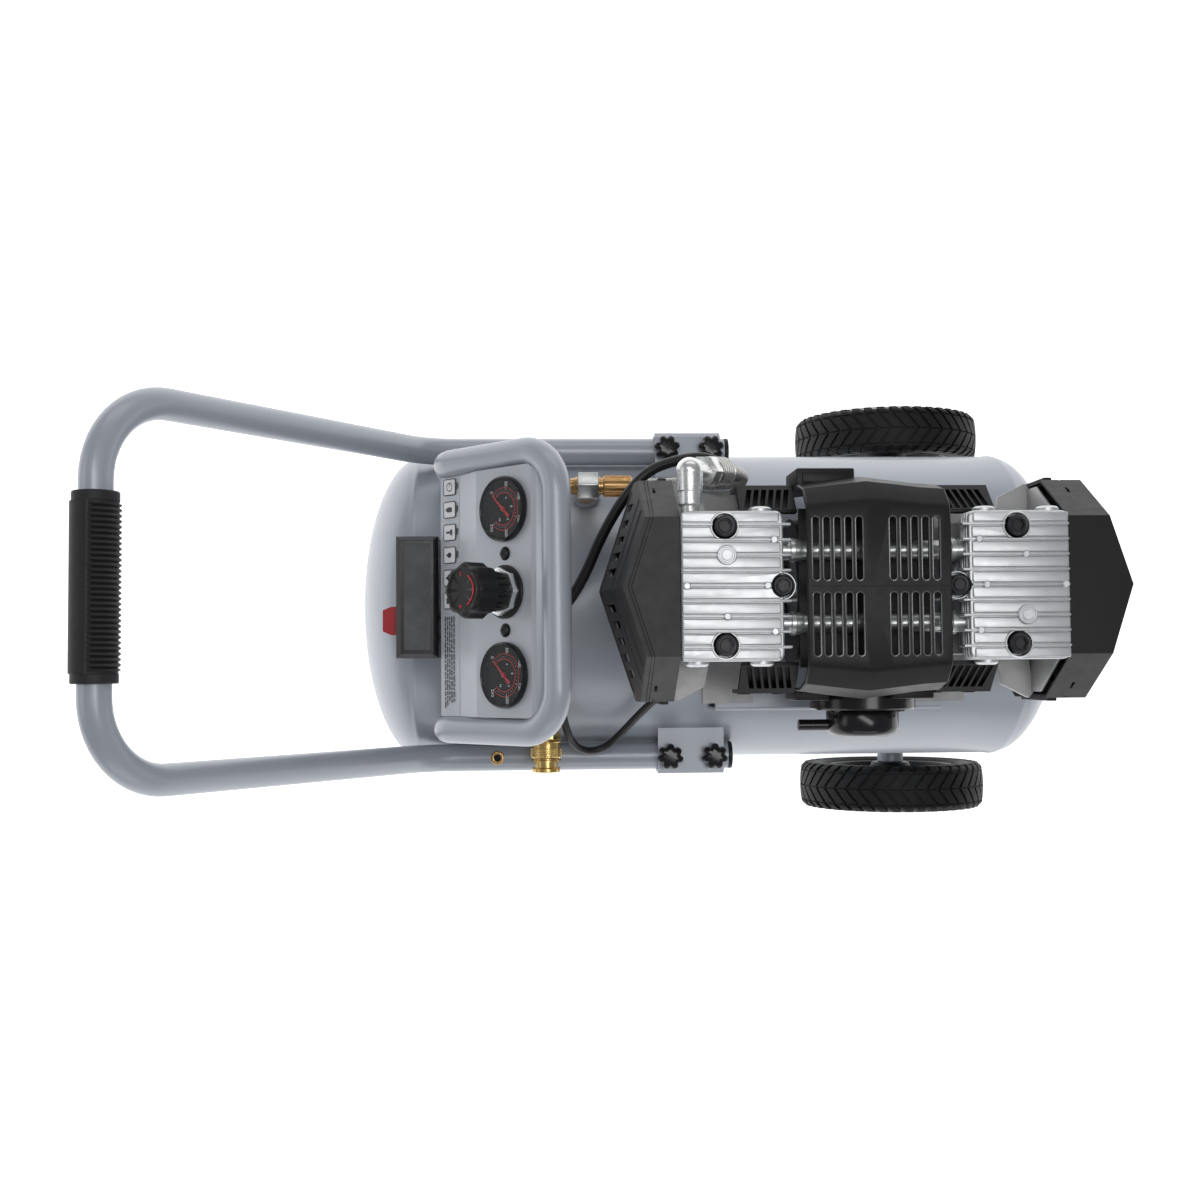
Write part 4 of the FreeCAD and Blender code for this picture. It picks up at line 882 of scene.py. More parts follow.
def prow_plan(forward, back):
    """The pointed front moved back by one amount and closed at another."""
    tip, shoulder = PROW_TIP + forward, PROW_SHOULDER + forward
    return [(tip, 0), (shoulder, PROW_SIDE), (back, PROW_SIDE), (back, -PROW_SIDE),
            (shoulder, -PROW_SIDE)]


def prow_band(forward, width, deeper):
    """A thin upright sheet that runs along the prow, a distance behind it."""
    tip, shoulder = PROW_TIP + forward - deeper, PROW_SHOULDER + forward - deeper
    return leaning_prism([(tip, 0), (shoulder, PROW_SIDE), (shoulder + width, PROW_SIDE),
                          (tip + width, 0), (shoulder + width, -PROW_SIDE),
                          (shoulder, -PROW_SIDE)])


def shroud_solid(inset, back, forward=None, deeper=0):
    """The shroud's outer shape, shrunk by an inset and closed at the back."""
    half = [(88 - inset, 472), (88 - inset, 545), (53, 603 - inset), (-53, 603 - inset),
            (-88 + inset, 545), (-88 + inset, 472), (-58, 424 + inset * 0.8),
            (58, 424 + inset * 0.8)]
    section = loft([[(x, y, z) for y, z in half] for x in (-50, back)])
    forward = (inset * 1.3 if forward is None else forward) - deeper
    return combined(section, "INTERSECT", leaning_prism(prow_plan(forward, 140)))


def prow_line(forward, width, depth, deeper):
    """A cutter for a groove round the shroud at a distance behind its pointed front."""
    return carved(prow_band(forward, width, deeper), shroud_solid(depth, 90, 0, deeper))


def louvre_cutters(deeper):
    """Two rows of upright slots each side of the prow, above and below its foremost edge."""
    cutters = []
    for side in (-1, 1):
        for i in range(5):
            y = side * (14 + 13 * i)
            face = PROW_TIP + FACE_SLOPE * abs(y) - deeper
            cutters.append(block((face - 4, y - 3, 537), (face + 20, y + 3, 563 - 3 * i)))
            cutters.append(block((face - 4, y - 3, 462 + 3 * i), (face + 26, y + 3, 523)))
    return cutters


def face_bars(deeper):
    """Raised slats along the prow's upper faces."""
    bars = []
    for side in (-1, 1):
        for level, end, size in ((533.5, 80, 1.2), (568, 70, 0.9), (585, 60, 1.3)):
            start = PROW_TIP + PROW_LEAN * (level - PROW_LEVEL) - deeper + 0.2
            bars.append(tube([(start + FACE_SLOPE * y, side * y, level) for y in (2, end)],
                             size, 8))
    return bars


def fan_room():
    """The round space that the fan sweeps, with a little more all round."""
    return placed(lathe([(0, 0), (0, 77), (28, 77), (28, 0)], 72),
                  at(2.4, 0, MOTOR_AXIS) @ turn(90, "Y"))


def shroud(deeper, lines):
    """A shroud's shell, its louvre backs, face bars and flank ribs; lines are its grooves."""
    slots = []
    for side in (-1, 1):
        slots.append(side_block(side, (8, 58, 558), (10.2, 96, 566)))
        slots.append(side_block(side, (8, 86.6, 480), (9.6, 92, 552)))
    grooves = [prow_line(forward, width, 0.9, deeper) for forward, width in lines]
    shell = carved(shroud_solid(0, 25, None, deeper), shroud_solid(2.5, 90, None, deeper),
                   *louvre_cutters(deeper), *grooves, *slots)
    bmesh.ops.remove_doubles(shell, verts=shell.verts, dist=0.02 * MM)
    flank = [rounded(side_block(side, (14, 84, 476), (21, 90.5, 541)), 0.8, 2)
             for side in (-1, 1)]
    backs = combined(prow_band(6, 1, deeper), "INTERSECT", shroud_solid(2.2, 24, 4, deeper))
    louvre_backs = carved(backs, fan_room())
    return joined(shell, louvre_backs, *face_bars(deeper), *flank)


REAR_DEEPER = 6.5
# The front shroud takes the lighter grey, which is painted light; the rear one keeps the plain black
# plastic.
for name, place, deeper, lines in (("front", Matrix.Identity(4), 0, ((3.6, 0.8), (6.2, 0.6))),
                                   ("rear", HALF_TURN, REAR_DEEPER, ())):
    cover_part = piece(f"fan_shroud_{name}_shell", placed(shroud(deeper, lines), place),
                       "black_plastic", paint="shroud_lit_grey" if name == "front" else None,
                       stands_for=f"fan_shroud_{name}", angle=25)
    round_edges(cover_part, 0.5, 25)

# --- casting walls


def casting_walls():
    """The cast walls that close a shroud's open side beside the crankcase, with a stiffening rib."""
    walls = []
    for side in (-1, 1):
        outline = [(51, 588), (83, 540), (83, 477), (79, 470), (51, 470)]
        walls.append(rounded(loft([[(x + (590 - z) * 0.03, side * y, z) for y, z in outline]
                                   for x in (23.6, 26.0)]), 0.6, 2))
        walls.append(rounded(loft([[(x, side * y, z) for x, z in
                                    [(25, 572), (25, 524), (46, 524), (46, 532)]]
                                   for y in (53, 55.4)]), 0.5, 2))
    return joined(*walls)


# The walls take the darker casting grey, which is painted shade.
piece("casting_walls_rear", placed(casting_walls(), HALF_TURN), "cast_aluminium",
      paint="casting_shade_grey")

# --- side grilles

GRILLE_LENGTH = 44
GRILLE_START = 74.5


def side_grille(side):
    """A sloping grille with a rim, slanted slots and a dark sheet of painted shade behind them; it
    starts at X 0.
    """
    corners = [(57.5, 580), (59.6, 582.2), (82, 560), (82, 524), (79, 524), (79, 558.5)]
    sheet = loft([[(x, side * y, z) for y, z in corners] for x in (0, GRILLE_LENGTH)])
    cutters = []
    for i in range(6):
        x = 3.2 + 5.9 * i
        plan = [(x, side * 61.5), (x + 3.9, side * 61.5), (x + 8.4, side * 78), (x + 4.5, side * 78)]
        cutters.append(prism(plan, 552, 590))
    body = carved(sheet, *cutters)
    rim = rounded(loft([[(x, side * y, z) for y, z in
                         [(57.7, 579), (57.7, 583.6), (60.5, 583.6), (60.5, 579)]]
                        for x in (0, GRILLE_LENGTH)]), 0.6, 2)
    # A dark sheet behind the slots: painted shade, where the space behind the grille is in shadow.
    grille_shade_sheet = loft([[(x, side * y, z) for y, z in
                     [(57.6, 575.6), (78.8, 554.4), (78.8, 552.0), (57.6, 573.2)]]
                    for x in (0.2, GRILLE_LENGTH - 0.2)])
    skirt = [rounded(side_block(side, (x, 79, 524), (x + 9, 83.2, 534)), 0.6, 2)
             for x in (4, 31)]
    return joined(body, rim, grille_shade_sheet, *skirt)


grilles = []
for side in (-1, 1):
    grilles.append(placed(side_grille(side), at(GRILLE_START, 0, 0)))
    grilles.append(placed(side_grille(side), HALF_TURN @ at(GRILLE_START, 0, 0)))
piece("side_grilles_slotted", joined(*grilles), "black_plastic", stands_for="side_grilles")

# --- transfer tubes


def transfer_tube(y):
    """A tube between the heads with a collar at each end."""
    collar = [(0, 0), (0, 7.6), (7, 7.6), (7.4, 9.2), (10.8, 9.2), (11.4, 8.4), (16, 8.2),
              (16.6, 7.4)]
    far = [(142.4 - h, r) for h, r in reversed(collar)]
    return placed(lathe(collar + far, 40), at(103.3, y, 590) @ turn(90, "Y"))


piece("transfer_tubes_bright", joined(transfer_tube(28), transfer_tube(-28)), "bright_chrome",
      paint="nut_plate", stands_for="transfer_tubes")

# --- tyres

WHEEL_X = 309
WHEEL_Z = 99
TYRE_RADIUS = 99
TREAD_BLOCKS = 44
TREAD_SLANT = 0.0085
SHOULDER = 22.8


def tread_radius(distance):
    """Radius of the tread at a distance from the tyre's middle plane."""
    return TYRE_RADIUS - 0.004 * distance ** 2 - max(distance - 18, 0) ** 2 * 0.14


def tread_block(first, last, inner, outer, slant, side):
    """One rubber block on the tread; it leans back along the tyre as it goes outward."""
    rows, columns = 6, 3
    points = []
    for base in (True, False):
        for i in range(rows + 1):
            across = inner + (outer - inner) * i / rows
            for k in range(columns + 1):
                angle = first + (last - first) * k / columns - slant * across
                radius = tread_radius(across) - (4.5 if base else 0)
                points.append((radius * math.sin(angle), side * across, radius * math.cos(angle)))
    count = columns + 1
    layer = (rows + 1) * count
    faces = []
    for i in range(rows):
        for k in range(columns):
            a = layer + i * count + k
            faces.append((a, a + 1, a + count + 1, a + count))
    border = ([k for k in range(count)] + [i * count + columns for i in range(1, rows + 1)]
              + [rows * count + k for k in range(columns - 1, -1, -1)]
              + [i * count for i in range(rows - 1, 0, -1)])
    for a, b in zip(border, border[1:] + border[:1]):
        faces.append((a, b, b + layer, a + layer))
    made = shape(points, faces)
    bmesh.ops.recalc_face_normals(made, faces=made.faces)
    return made


def tyre(direction):
    """The carcass and its herringbone tread; direction is the way the V points along X."""
    walls = [(23.2, 74), (23.5, 78), (23.1, 86), (21.6, 92), (18.5, 95.3), (10, 96.6), (0, 96.9)]
    rim = [(22.0, 71.5), (20.5, 70.2)]
    half = rim + walls
    outline = [(y, r) for y, r in half] + [(-y, r) for y, r in reversed(half[:-1])]
    carcass = placed(ring_lathe(outline, 120), turn(90, "X"))
    wall_rings = [placed(ring_lathe([(side * 23.0, r), (side * 23.9, r + 0.7), (side * 23.0, r + 1.4)],
                                    96), turn(90, "X")) for side in (-1, 1) for r in (76, 88)]
    pitch = 2 * math.pi / TREAD_BLOCKS
    slant = direction * TREAD_SLANT
    blocks = []
    for k in range(TREAD_BLOCKS):
        for side in (-1, 1):
            start = pitch * k
            blocks.append(tread_block(start, start + pitch * 0.74, 0.7, 15.5, slant, side))
            blocks.append(tread_block(start + pitch * 0.06, start + pitch * 0.66, 16.9, SHOULDER,
                                      slant, side))
            middle = math.degrees(start + pitch * 0.36 - slant * SHOULDER)
            lug = side_block(side, (-3.6, 18.5, 86), (3.6, 23.5, 93.6))
            blocks.append(placed(lug, turn(middle, "Y")))
    return joined(carcass, *wall_rings, *blocks)


for name, side in (("left", 1), ("right", -1)):
    piece(f"tyre_{name}_treaded", placed(tyre(side), at(WHEEL_X, side * 189.5, WHEEL_Z)),
          "tyre_rubber", f"wheel_{name}", stands_for=f"tyre_{name}", angle=30)

# --- gauges and regulator

PANEL_TILT = turn(-47, "Y")


def on_panel(y):
    """The frame of a place on the panel: X up the slope, Z outward."""
    return at(PANEL_MIDDLE[0], y, PANEL_MIDDLE[1]) @ PANEL_TILT


def dial_place(angle, radius):
    """A place on a dial for an angle in degrees, anticlockwise from the reader's right."""
    a = math.radians(angle)
    return radius * math.sin(a), -radius * math.cos(a)


def dial_arc(radius, start, end, width, z):
    points = [(*dial_place(start + (end - start) * i / 48, radius), z) for i in range(49)]
    return tube(points, width / 2, 6)


def printed_text(body, size, x, y, z, thickness=0.06):
    """A word or number that stands on a dial, centred on a place."""
    curve = bpy.data.curves.new("text", "FONT")
    curve.body = body
    curve.size = size * MM
    curve.extrude = thickness * MM
    curve.align_x = "CENTER"
    curve.align_y = "CENTER"
    holder = bpy.data.objects.new("text", curve)
    bpy.context.scene.collection.objects.link(holder)
    mesh = evaluated_mesh(holder)
    made = bmesh.new()
    made.from_mesh(mesh)
    bpy.data.objects.remove(holder)
    bpy.data.curves.remove(curve)
    bpy.data.meshes.remove(mesh)
    return placed(made, at(x, y, z) @ turn(-90, "Z"))


ZERO_ANGLE = 225
SCALE_SWEEP = 270
GAUGE_SIDE = 66
PRINT_LEVEL = 1.6


def scale_angle(share):
    return ZERO_ANGLE - SCALE_SWEEP * share


def dial_tick(share, inner, outer, width):
    x0, y0 = dial_place(scale_angle(share), inner)
    x1, y1 = dial_place(scale_angle(share), outer)
    return tube([(x0, y0, PRINT_LEVEL + 0.02), (x1, y1, PRINT_LEVEL + 0.02)], width / 2, 4)


GAUGE_CASE = [(-27.9, 0), (-27.9, 6), (-24, 6), (-24, 22), (-23, 23), (0.15, 23), (0.15, 26.0),
              (0.6, 26.3), (3.4, 26.3), (4.6, 25.8), (5.15, 25.0), (5.15, 24.5), (4.7, 24.05),
              (1.2, 24.0), (1.2, 0)]
cases, faces_black, prints, reds = [], [], [], []
for side in (1, -1):
    place = on_panel(side * GAUGE_SIDE)
    cases.append(placed(lathe(GAUGE_CASE, 72), place))
    faces_black.append(placed(lathe([(1.25, 23.9), (1.5, 23.9), (1.5, 0)], 60), place))
    white = [printed_text(text, 4.3, *dial_place(scale_angle(share), 20.0), PRINT_LEVEL)
             for text, share in (("0", 0), ("50", 0.2), ("100", 0.4), ("150", 0.6), ("200", 0.8),
                                 ("250", 1))]
    white += [printed_text(text, 3.0, *dial_place(scale_angle(share), 9.3), PRINT_LEVEL)
              for text, share in (("4", 0.24), ("8", 0.47), ("12", 0.71), ("16", 0.94))]
    white += [dial_tick(k / 25, 14.4, 15.2 if k % 5 else 16.6, 0.22) for k in range(26)]
    prints.append(placed(joined(*white), place))
    red = [dial_arc(radius, ZERO_ANGLE, ZERO_ANGLE - SCALE_SWEEP, width, PRINT_LEVEL)
           for radius, width in ((13.0, 0.6), (17.0, 0.5))]
    reds.append(placed(joined(*red), place))
piece("gauge_cases_round", joined(*cases), "gloss_black", stands_for="gauge_cases")
piece("gauge_dials", joined(*faces_black), "gloss_black", paint="dial_black")
piece("gauge_numbers", joined(*prints), "gloss_black", paint="print_white")
piece("gauge_arcs", joined(*reds), "gloss_black", paint="print_red")


def needle():
    """A red pointer with a wide tail, at rest on the dial's zero."""
    pointer = prism([(-9.5, -1.6), (-9.5, 1.6), (-2.2, 0.8), (0, 1.1), (17, 0.3), (17, -0.3),
                     (0, -1.1), (-2.2, -0.8)], 2.2, 2.8)
    cap = lathe([(1.5, 2.0), (3.0, 2.0), (3.4, 1.5), (3.4, 0)], 28)
    return placed(joined(pointer, cap), turn(137, "Z"))


for name, side in (("tank", 1), ("outlet", -1)):
    piece(f"{name}_needle_red", placed(needle(), on_panel(side * GAUGE_SIDE)), "signal_red",
          f"{name}_needle", stands_for=f"{name}_gauge_needle")


def lobed(radius, depth, lobes, z, count=96):
    """A scalloped outline at a height."""
    return [((radius + depth * math.cos(lobes * a)) * math.cos(a),
             (radius + depth * math.cos(lobes * a)) * math.sin(a), z)
            for a in (2 * math.pi * i / count for i in range(count))]


def regulator_knob_shape():
    """A lobed grip on a spindle, with a flared skirt below."""
    grip_part = loft([lobed(19.6, 0.8, 8, 24), lobed(20.9, 1.1, 8, 25.2), lobed(20.9, 1.1, 8, 41.5),
                      lobed(20.3, 1.0, 8, 43.6), lobed(18.6, 0.8, 8, 45), lobed(16.4, 0.2, 8, 45),
                      lobed(15.6, 0.0, 8, 44.2), lobed(0.5, 0.0, 8, 44.2)])
    spindle = lathe([(11.5, 5), (24.2, 5)], 32)
    skirt = lathe([(23.2, 15.8), (24.4, 17.6), (24.4, 0)], 48)
    return joined(grip_part, spindle, skirt)


KNOB_FACE = 44.2


def knob_marks():
    """An arc with a plus and a minus on the knob's face."""
    radius = 12.6
    arc = dial_arc(radius, 25, 150, 1.1, KNOB_FACE + 0.15)
    plus = [block((-0.35, -1.7, 0), (0.35, 1.7, 0.25)), block((-1.7, -0.35, 0), (1.7, 0.35, 0.25))]
    minus = block((-0.35, -1.7, 0), (0.35, 1.7, 0.25))
    return joined(arc, placed(joined(*plus), at(-2.5, -radius, KNOB_FACE)),
                  placed(minus, at(-2.5, radius, KNOB_FACE)))


knob_place = on_panel(0)
piece("regulator_knob_lobed", placed(regulator_knob_shape(), knob_place), "black_plastic",
      "regulator_knob", stands_for="regulator_knob", angle=40)
piece("regulator_knob_marks", placed(knob_marks(), knob_place), "black_plastic",
      "regulator_knob", paint="print_red")
piece("regulator_neck", placed(joined(
    lathe([(-26, 15.6), (0.15, 15.6), (0.15, 21.0), (0.5, 21.4), (1.6, 21.4), (2.15, 20.9),
           (2.15, 13.6), (8.4, 13.6), (9.2, 14.8), (22.0, 14.8),
           (22.8, 14.0), (22.8, 5.4), (10.2, 5.4), (10.2, 0)], 64),
    *[placed(rounded(block((14.0, -1.2, 9.6), (16.0, 1.2, 22.3)), 0.5, 2), turn(22.5 * k, "Z"))
      for k in range(16)]), knob_place), "black_plastic", stands_for="regulator_body")


def octagon_nut():
    """The bright nut that holds the regulator to the panel."""
    outline = [(19.4 * math.cos(a), 19.4 * math.sin(a)) for a in (math.pi / 4 * k for k in range(8))]
    nut = rounded(prism(outline, 2.2, 8.8), 0.9, 3)
    return carved(nut, lathe([(0, 14.2), (12, 14.2)], 60))


piece("regulator_nut_bright", placed(octagon_nut(), knob_place), "bright_chrome",
      stands_for="regulator_nut", angle=25)

# --- panel details

piece("control_panel_folded", cad_mesh("control_panel"), "painted_silver", paint="panel_satin",
      stands_for="control_panel", angle=25)


def pan_screw():
    """A cross-head screw on a thin washer."""
    head_part = lathe([(0.15, 4.6), (1.2, 4.6), (2.4, 3.7), (2.9, 2.0), (3.0, 0)], 36)
    cross = [block((-2.6, -0.5, 1.6), (2.6, 0.5, 4)), block((-0.5, -2.6, 1.6), (0.5, 2.6, 4))]
    washer = ring_lathe([(0.05, 4.4), (0.35, 5.6), (0.05, 5.6)], 36)
    return joined(carved(head_part, *cross), washer)


SCREW_SIDE = 30.5
piece("panel_screws_round",
      joined(*[placed(pan_screw(), on_panel(y)) for y in (SCREW_SIDE, -SCREW_SIDE)]),
      "black_steel", stands_for="panel_screws")

lip = rounded(block((-84, -96, 564.6), (-75.6, 96, 566.2)), 0.5, 2)
folds = [tube([(x, -99, z), (x, 99, z)], 0.55, 8)
         for x, z in ((-146.6, 489.2), (-133.2, 505.1), (-83.6, 565.6))]
piece("panel_folds", joined(lip, *folds), "painted_silver", paint="panel_satin")
clip_plug = lathe([(0, 3.2), (2.0, 3.2), (3.0, 2.0), (3.2, 0)], 28)
piece("panel_plug", placed(clip_plug, at(-92, 92, 553) @ PANEL_TILT), "painted_silver",
      paint="print_white")


def switch_rim():
    """The black chamfered frame round the switch box's lid."""
    rings = []
    for x, y, z in ((17.7, 51.2, 452), (17.7, 51.2, 468), (13.7, 47.2, 472.3), (11.2, 44.7, 472.4),
                    (11.0, 44.5, 471.6), (17.2, 50.7, 452)):
        rings.append([(SWITCH_MIDDLE + sx * x, sy * y, z)
                      for sx, sy in ((1, 1), (-1, 1), (-1, -1), (1, -1))])
    return loft(rings + rings[:1], caps=False)


piece("switch_lid_rim", switch_rim(), "switch_grey", paint="rim_black", angle=25)

LABEL_SLOPE = math.degrees(math.atan2(17.5, 16))
LABEL_SIDE = 91.2
LABEL_PITCH = 19
LABEL_ROWS = (-6.2, -3.4, -0.6, 2.2, 5.0)
DASHES = (4.2, 2.4, 5.6, 3.1, 1.8, 4.8, 2.9)


def on_label(y):
    """The frame of a place on the panel's lower fold: X up the slope, Z outward."""
    return at(-155.0, y, 480.4) @ turn(-LABEL_SLOPE, "Y")


def on_square(i):
    return on_label(LABEL_SIDE - LABEL_PITCH * i)


def label_marks():
    """Plain framed squares in a row along the panel's lower edge, in place of its pictures."""
    frames, fills = [], []
    for i in range(6):
        place = on_square(i)
        rim = [Vector((a, b, 0)) for a, b in rounded_outline(15.0, 13.2, 1.6)]
        frames.append(placed(tube(rim + rim[:1], 0.5, 6, caps=False), place))
        fills.append(placed(prism(rounded_outline(14.8, 13.0, 1.6), 0.0, 0.25), place))
    return joined(*frames), joined(*fills)


def label_signs():
    """A simple sign on each label square: a dial, a knob, a plug, a drop, a cap or a bar."""
    signs = [
        joined(ring_lathe([(0.25, 3.0), (0.4, 3.4), (0.25, 3.8)], 28),
               block((-0.3, 0, 0.25), (0.3, 2.8, 0.4))),
        joined(prism(rounded_outline(6.5, 4.2, 1.2), 0.25, 0.4),
               block((-4.6, -1, 0.25), (-3, 1, 0.4))),
        joined(block((-4.2, -0.9, 0.25), (1, 0.9, 0.4)), block((1, -2.4, 0.25), (3.6, 2.4, 0.4))),
        joined(lathe([(0.25, 2.3), (0.4, 2.3), (0.4, 0)], 24),
               prism([(-4.4, 0), (-0.8, -2), (-0.8, 2)], 0.25, 0.4)),
        joined(lathe([(0.25, 3.2), (0.4, 3.2), (0.4, 0)], 24),
               block((-5, -0.8, 0.25), (-2, 0.8, 0.4))),
        joined(block((-4, -2.6, 0.25), (-1.2, 2.6, 0.4)), block((1.2, -2.6, 0.25), (4, 2.6, 0.4))),
    ]
    return joined(*[placed(sign, on_square(i)) for i, sign in enumerate(signs)])


def fine_print():
    """Rows of short dashes beside the squares, in place of the panel's small words."""
    dashes = []
    for row, x in enumerate(LABEL_ROWS):
        y, k = -17.0, row * 3
        while y > -88:
            length = DASHES[k % len(DASHES)]
            dashes.append(placed(block((x - 0.45, -length, 0), (x + 0.45, 0, 0.2)), on_label(y)))
            y -= length + 0.9
            k += 1
    for i in range(4):
        for k, x in enumerate((8.8, 10.4)):
            dashes.append(placed(block((x - 0.4, -3 + k, 0), (x + 0.4, 3, 0.2)), on_square(i)))
    return joined(*dashes)


frame_marks, label_fills = label_marks()
piece("label_signs", label_signs(), "painted_silver", paint="print_dark")
piece("label_fine_print", fine_print(), "painted_silver", paint="print_dark")
piece("label_frames", frame_marks, "painted_silver", paint="print_dark")
piece("label_squares", label_fills, "painted_silver", paint="label_grey")

# --- star knobs


def star_outline(radius, depth, z, lobes=7, count=98):
    """Broad round lobes with narrow hollows between them."""
    return [(r * math.cos(a), r * math.sin(a), z) for r, a in
            ((radius - depth * ((1 - math.cos(lobes * a)) / 2) ** 2, a)
             for a in (2 * math.pi * i / count for i in range(count)))]


def star():
    """A star knob's head, collar and stud."""
    head_part = loft([star_outline(7.2, 0.4, 356.2), star_outline(10.9, 2.2, 357.0),
                      star_outline(12, 2.7, 358.6), star_outline(12, 2.7, 364.5),
                      star_outline(11.2, 2.4, 366.8), star_outline(9.2, 1.4, 368.2),
                      star_outline(6.2, 0.2, 368.8), star_outline(3.0, 0, 369.0),
                      star_outline(0.4, 0, 369.0)])
    collar = lathe([(353.2, 6.2), (356.6, 6.8)], 40)
    stud = lathe([(349.95, 3.0), (353.4, 3.0)], 24)
    return joined(head_part, collar, stud)


for across, side in (("left", 1), ("right", -1)):
    for along, x in (("front", 39.45), ("rear", 80.45)):
        name = f"star_knob_{along}_{across}"
        piece(f"{name}_moulded", placed(star(), at(x, side * TUBE_SIDE, 0) @ turn(14 * side, "Z")),
              "gloss_black", name, stands_for=name, angle=40)

# --- intake filter

INTAKE_X = PUMP_MIDDLE + 9


def intake():
    """A drum with a stepped lid, four lugs and a thin inlet pipe."""
    ring = [(74.0, 0), (74.0, 11.8), (80.5, 11.8), (80.5, 42.2), (81.3, 43), (95.2, 43),
            (96.5, 41.8), (96.5, 30.5), (95.6, 30.0), (95.6, 27.8), (97.0, 27.8), (97.6, 29.0),
            (98.4, 29.5), (111.0, 29.5), (114.6, 28.2), (117.0, 25.2), (118.2, 21.0), (118.2, 9),
            (117.4, 8.2), (117.4, 0)]
    drum = placed(lathe(ring, 80), turn(90, "X"))
    lugs = [placed(lathe([(95, 3.2), (97.6, 3.2), (98.0, 2.6), (98.0, 0)], 24),
                   turn(45 + 90 * k, "Y") @ at(36.3, 0, 0) @ turn(90, "X")) for k in range(4)]
    inlet = placed(lathe([(0, 3.2), (0, 4.6), (30, 4.6), (30, 5.6), (34, 5.6), (36, 4.6)], 32),
                   at(-53, -109, 0) @ turn(90, "Y"))
    return placed(joined(drum, inlet, *lugs), at(INTAKE_X, 0, MOTOR_AXIS))


piece("intake_filter_drum", intake(), "gloss_black", stands_for="intake_filter", angle=36)

# --- outlet coupler

COUPLER_MOUTH = (-74.5, -118, 380)
COUPLER = at(*COUPLER_MOUTH) @ turn(90, "X")


def hexagon(radius, low, high, phase=0.0, width=0.6):
    outline = [(radius * math.cos(a + phase), radius * math.sin(a + phase))
               for a in (math.pi / 3 * k for k in range(6))]
    return rounded(prism(outline, low, high), width, 2)


def knurled_ring(radius, low, high, count=40):
    """Crossed ridges on a ring, one small pyramid at each place."""
    points, faces = [], []
    rows = max(int((high - low) / 1.5), 1)
    for row in range(rows):
        z0 = low + (high - low) * row / rows
        z1 = low + (high - low) * (row + 1) / rows
        for k in range(count):
            a0 = 2 * math.pi * (k + 0.5 * (row % 2)) / count
            a1 = a0 + math.pi / count
            a2 = a0 + 2 * math.pi / count
            base = len(points)
            for a, z, r in ((a0, (z0 + z1) / 2, radius), (a1, z0, radius), (a2, (z0 + z1) / 2, radius),
                            (a1, z1, radius), (a1, (z0 + z1) / 2, radius + 0.55)):
                points.append((r * math.cos(a), r * math.sin(a), z))
            faces += [(base, base + 1, base + 4), (base + 1, base + 2, base + 4),
                      (base + 2, base + 3, base + 4), (base + 3, base, base + 4)]
    return shape(points, faces)


OUTLET_X = PANEL_MIDDLE[0] + 39 * math.sin(math.radians(47))
OUTLET_Z = PANEL_MIDDLE[1] - 39 * math.cos(math.radians(47))
OUTLET_PIPE = bent_path([COUPLER_MOUTH, (-74.5, -104, 380), (OUTLET_X, -104, OUTLET_Z),
                         (OUTLET_X, -75.2, OUTLET_Z)], [10, 14])
core = lathe([(9.6, 8), (10.4, 10.4), (31.4, 10.4), (31.8, 12.0), (32.4, 12.6), (35.2, 12.6),
              (35.8, 12.0), (35.8, 6.4), (34.6, 5.6), (11.8, 5.6), (11.8, 0)], 56)
shoulder_ring = lathe([(-2.6, 9), (-2.0, 10.6), (0.2, 10.8), (0.2, 0)], 48)
piece("coupler_body_brass", joined(tube(OUTLET_PIPE, 6.5, 32),
                                   placed(joined(core, hexagon(13, 0, 10), shoulder_ring), COUPLER)),
      "brass", paint="gold_brass", stands_for="coupler_body")
sleeve = ring_lathe([(6.2, 10.8), (6.2, 12.6), (7.0, 13.9), (8.4, 14.2), (9.2, 13.3), (10.4, 13.2),
                     (13.6, 13.2), (13.9, 13.5), (22.2, 13.5), (22.6, 13.2), (23.4, 12.4),
                     (24.2, 12.4), (24.8, 13.4), (25.8, 13.4), (25.8, 10.8)], 64)
piece("coupler_sleeve_knurled", placed(joined(sleeve, knurled_ring(13.45, 14.2, 22.0)), COUPLER),
      "brass", "coupler_sleeve", paint="gold_brass", stands_for="coupler_sleeve", angle=25)

# --- check valve

VALVE_X = -37
VALVE_Y = 97.6
RISE = at(VALVE_X, VALVE_Y, 0)
TEE = at(VALVE_X, VALVE_Y, 435) @ turn(90, "Y")
valve_body = joined(
    placed(joined(lathe([(386, 9.5), (398, 9.5), (400, 8.2), (404, 8.2), (406, 9.5), (424, 9.5)], 48),
                  hexagon(12.6, 407, 418)), RISE),
    placed(lathe([(-20, 0), (-20, 2.8), (-17, 3.2), (-16, 6.8), (-11.4, 7.4), (-10, 8.2),
                  (9, 8.2), (10.4, 8.2), (10.8, 7.2), (12.6, 7.2), (13.0, 8.4), (14, 8.8),
                  (37.0, 8.8), (38.0, 8.0), (38.0, 0)], 48), TEE),
    *[placed(rounded(block((8.2, -0.8, 13.8), (9.4, 0.8, 36.6)), 0.3, 1),
             TEE @ turn(20 * k, "Z")) for k in range(18)])
piece("check_valve_brass", valve_body, "brass", stands_for="check_valve")
piece("check_valve_nut", placed(hexagon(13.0, -9.4, 8.7, 0.0, 0.9), TEE), "brass",
      paint="nut_plate")

# --- discharge elbow and hose

ELBOW_X = 34
ELBOW_CORNER = Vector((ELBOW_X, 89, PORT_LEVEL))
ELBOW_OUT = Vector((0.6, 0.09, -0.8)).normalized()
DOWN_OUTLET = (Matrix.Translation(ELBOW_CORNER * MM)
               @ Vector((0, 0, 1)).rotation_difference(ELBOW_OUT).to_matrix().to_4x4())
ALONG_Y = at(ELBOW_X, 0, PORT_LEVEL) @ turn(-90, "X")


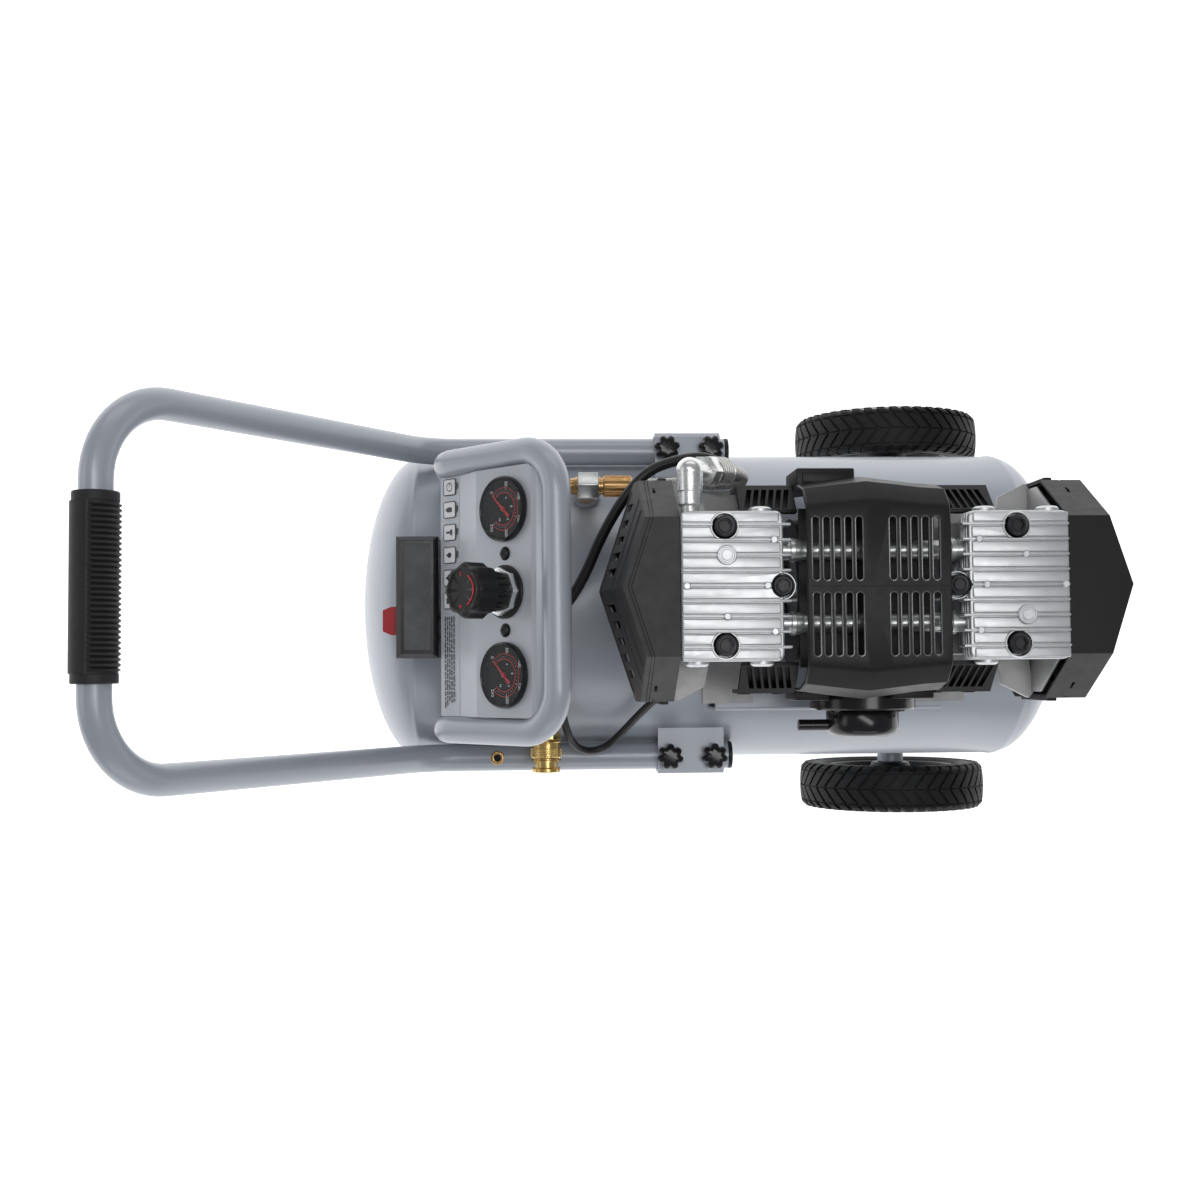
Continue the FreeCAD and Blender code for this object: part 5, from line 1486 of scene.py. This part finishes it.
def elbow():
    """The threaded leg, bend and neck of the elbow, and the hose's crimped ferrule."""
    threads = [(47 + 1.3 * k + d, 7.0 - (0.5 if d > 0.5 else 0)) for k in range(11)
               for d in (0.1, 0.5, 0.8, 1.2)]
    leg = placed(lathe([(47, 0)] + threads + [(61.6, 7.0), (62.2, 8.6), (63.0, 9.4), (72.5, 9.4),
                                               (73.4, 10), (83.0, 10.2), (88, 10.4)], 56), ALONG_Y)
    bend = bmesh.new()
    bmesh.ops.create_uvsphere(bend, u_segments=40, v_segments=24, radius=10.5 * MM)
    bend = placed(bend, Matrix.Translation(ELBOW_CORNER * MM))
    neck = placed(joined(lathe([(0, 9.8), (6, 9.0), (12, 8.5), (20.2, 8.5)], 48),
                         hexagon(13, 20, 31, 0.35, 0.8)), DOWN_OUTLET)
    ferrule = lathe([(30.8, 0), (30.8, 10.6), (31.5, 11.6)] +
                    [(32.5 + 3.4 * k + d, r) for k in range(6)
                     for d, r in ((0.0, 12.0), (1.7, 12.0), (2.2, 10.2), (2.9, 10.2))] +
                    [(53.2, 11.4), (54, 10.4), (54, 0)], 56)
    return joined(leg, bend, neck), placed(ferrule, DOWN_OUTLET)


elbow_body, hose_ferrule = elbow()
piece("discharge_elbow_cast", elbow_body, "bright_chrome", paint="cast_bright",
      stands_for="discharge_elbow", angle=30)
piece("discharge_ferrule", hose_ferrule, "braided_steel", angle=30)

# --- light


def area_light(name, place, target, size, power, colour=(1, 1, 1)):
    data = bpy.data.lights.new(name, "AREA")
    data.shape = "RECTANGLE"
    data.size, data.size_y = size
    data.energy = power
    data.color = colour
    made = bpy.data.objects.new(name, data)
    bpy.context.scene.collection.objects.link(made)
    made.location = place
    made.rotation_euler = (Vector(target) - Vector(place)).to_track_quat("-Z", "Y").to_euler()
    return made


def studio():
    """A pale floor that stays white, a broad light overhead and softer ones at the sides."""
    white = surface("floor_white", (0.92, 0.92, 0.92), 0.9, tint=0.01, cloud=2, grain=60)
    shader = white.node_tree.nodes["Principled BSDF"]
    shader.inputs["Emission Color"].default_value = (1, 1, 1, 1)
    shader.inputs["Emission Strength"].default_value = 0.9
    mesh = bpy.data.meshes.new("floor")
    floor = shape([(-6000, -6000, -1), (6000, -6000, -1), (6000, 6000, -1), (-6000, 6000, -1)],
                  [(0, 1, 2, 3)])
    floor.to_mesh(mesh)
    floor.free()
    mesh.materials.append(white)
    ground = bpy.data.objects.new("floor", mesh)
    bpy.context.scene.collection.objects.link(ground)
    lights = [
        area_light("overhead", (0.1, 0.15, 2.7), (0, 0, 0.3), (2.0, 0.5), 14),
        area_light("left_side", (0.2, 2.4, 1.5), (0, 0, 0.3), (2.6, 0.9), 9),
        area_light("right_side", (0.2, -2.4, 1.3), (0, 0, 0.3), (2.6, 0.8), 8),
        area_light("handle_end", (-2.4, 0.2, 1.4), (0, 0, 0.3), (1.8, 0.8), 5),
    ]
    world = bpy.data.worlds.new("world")
    world.use_nodes = True
    world.node_tree.nodes["Background"].inputs["Color"].default_value = (0.93, 0.95, 1.0, 1)
    world.node_tree.nodes["Background"].inputs["Strength"].default_value = 0.26
    bpy.context.scene.world = world
    bpy.context.scene.view_settings.view_transform = "Standard"


studio()
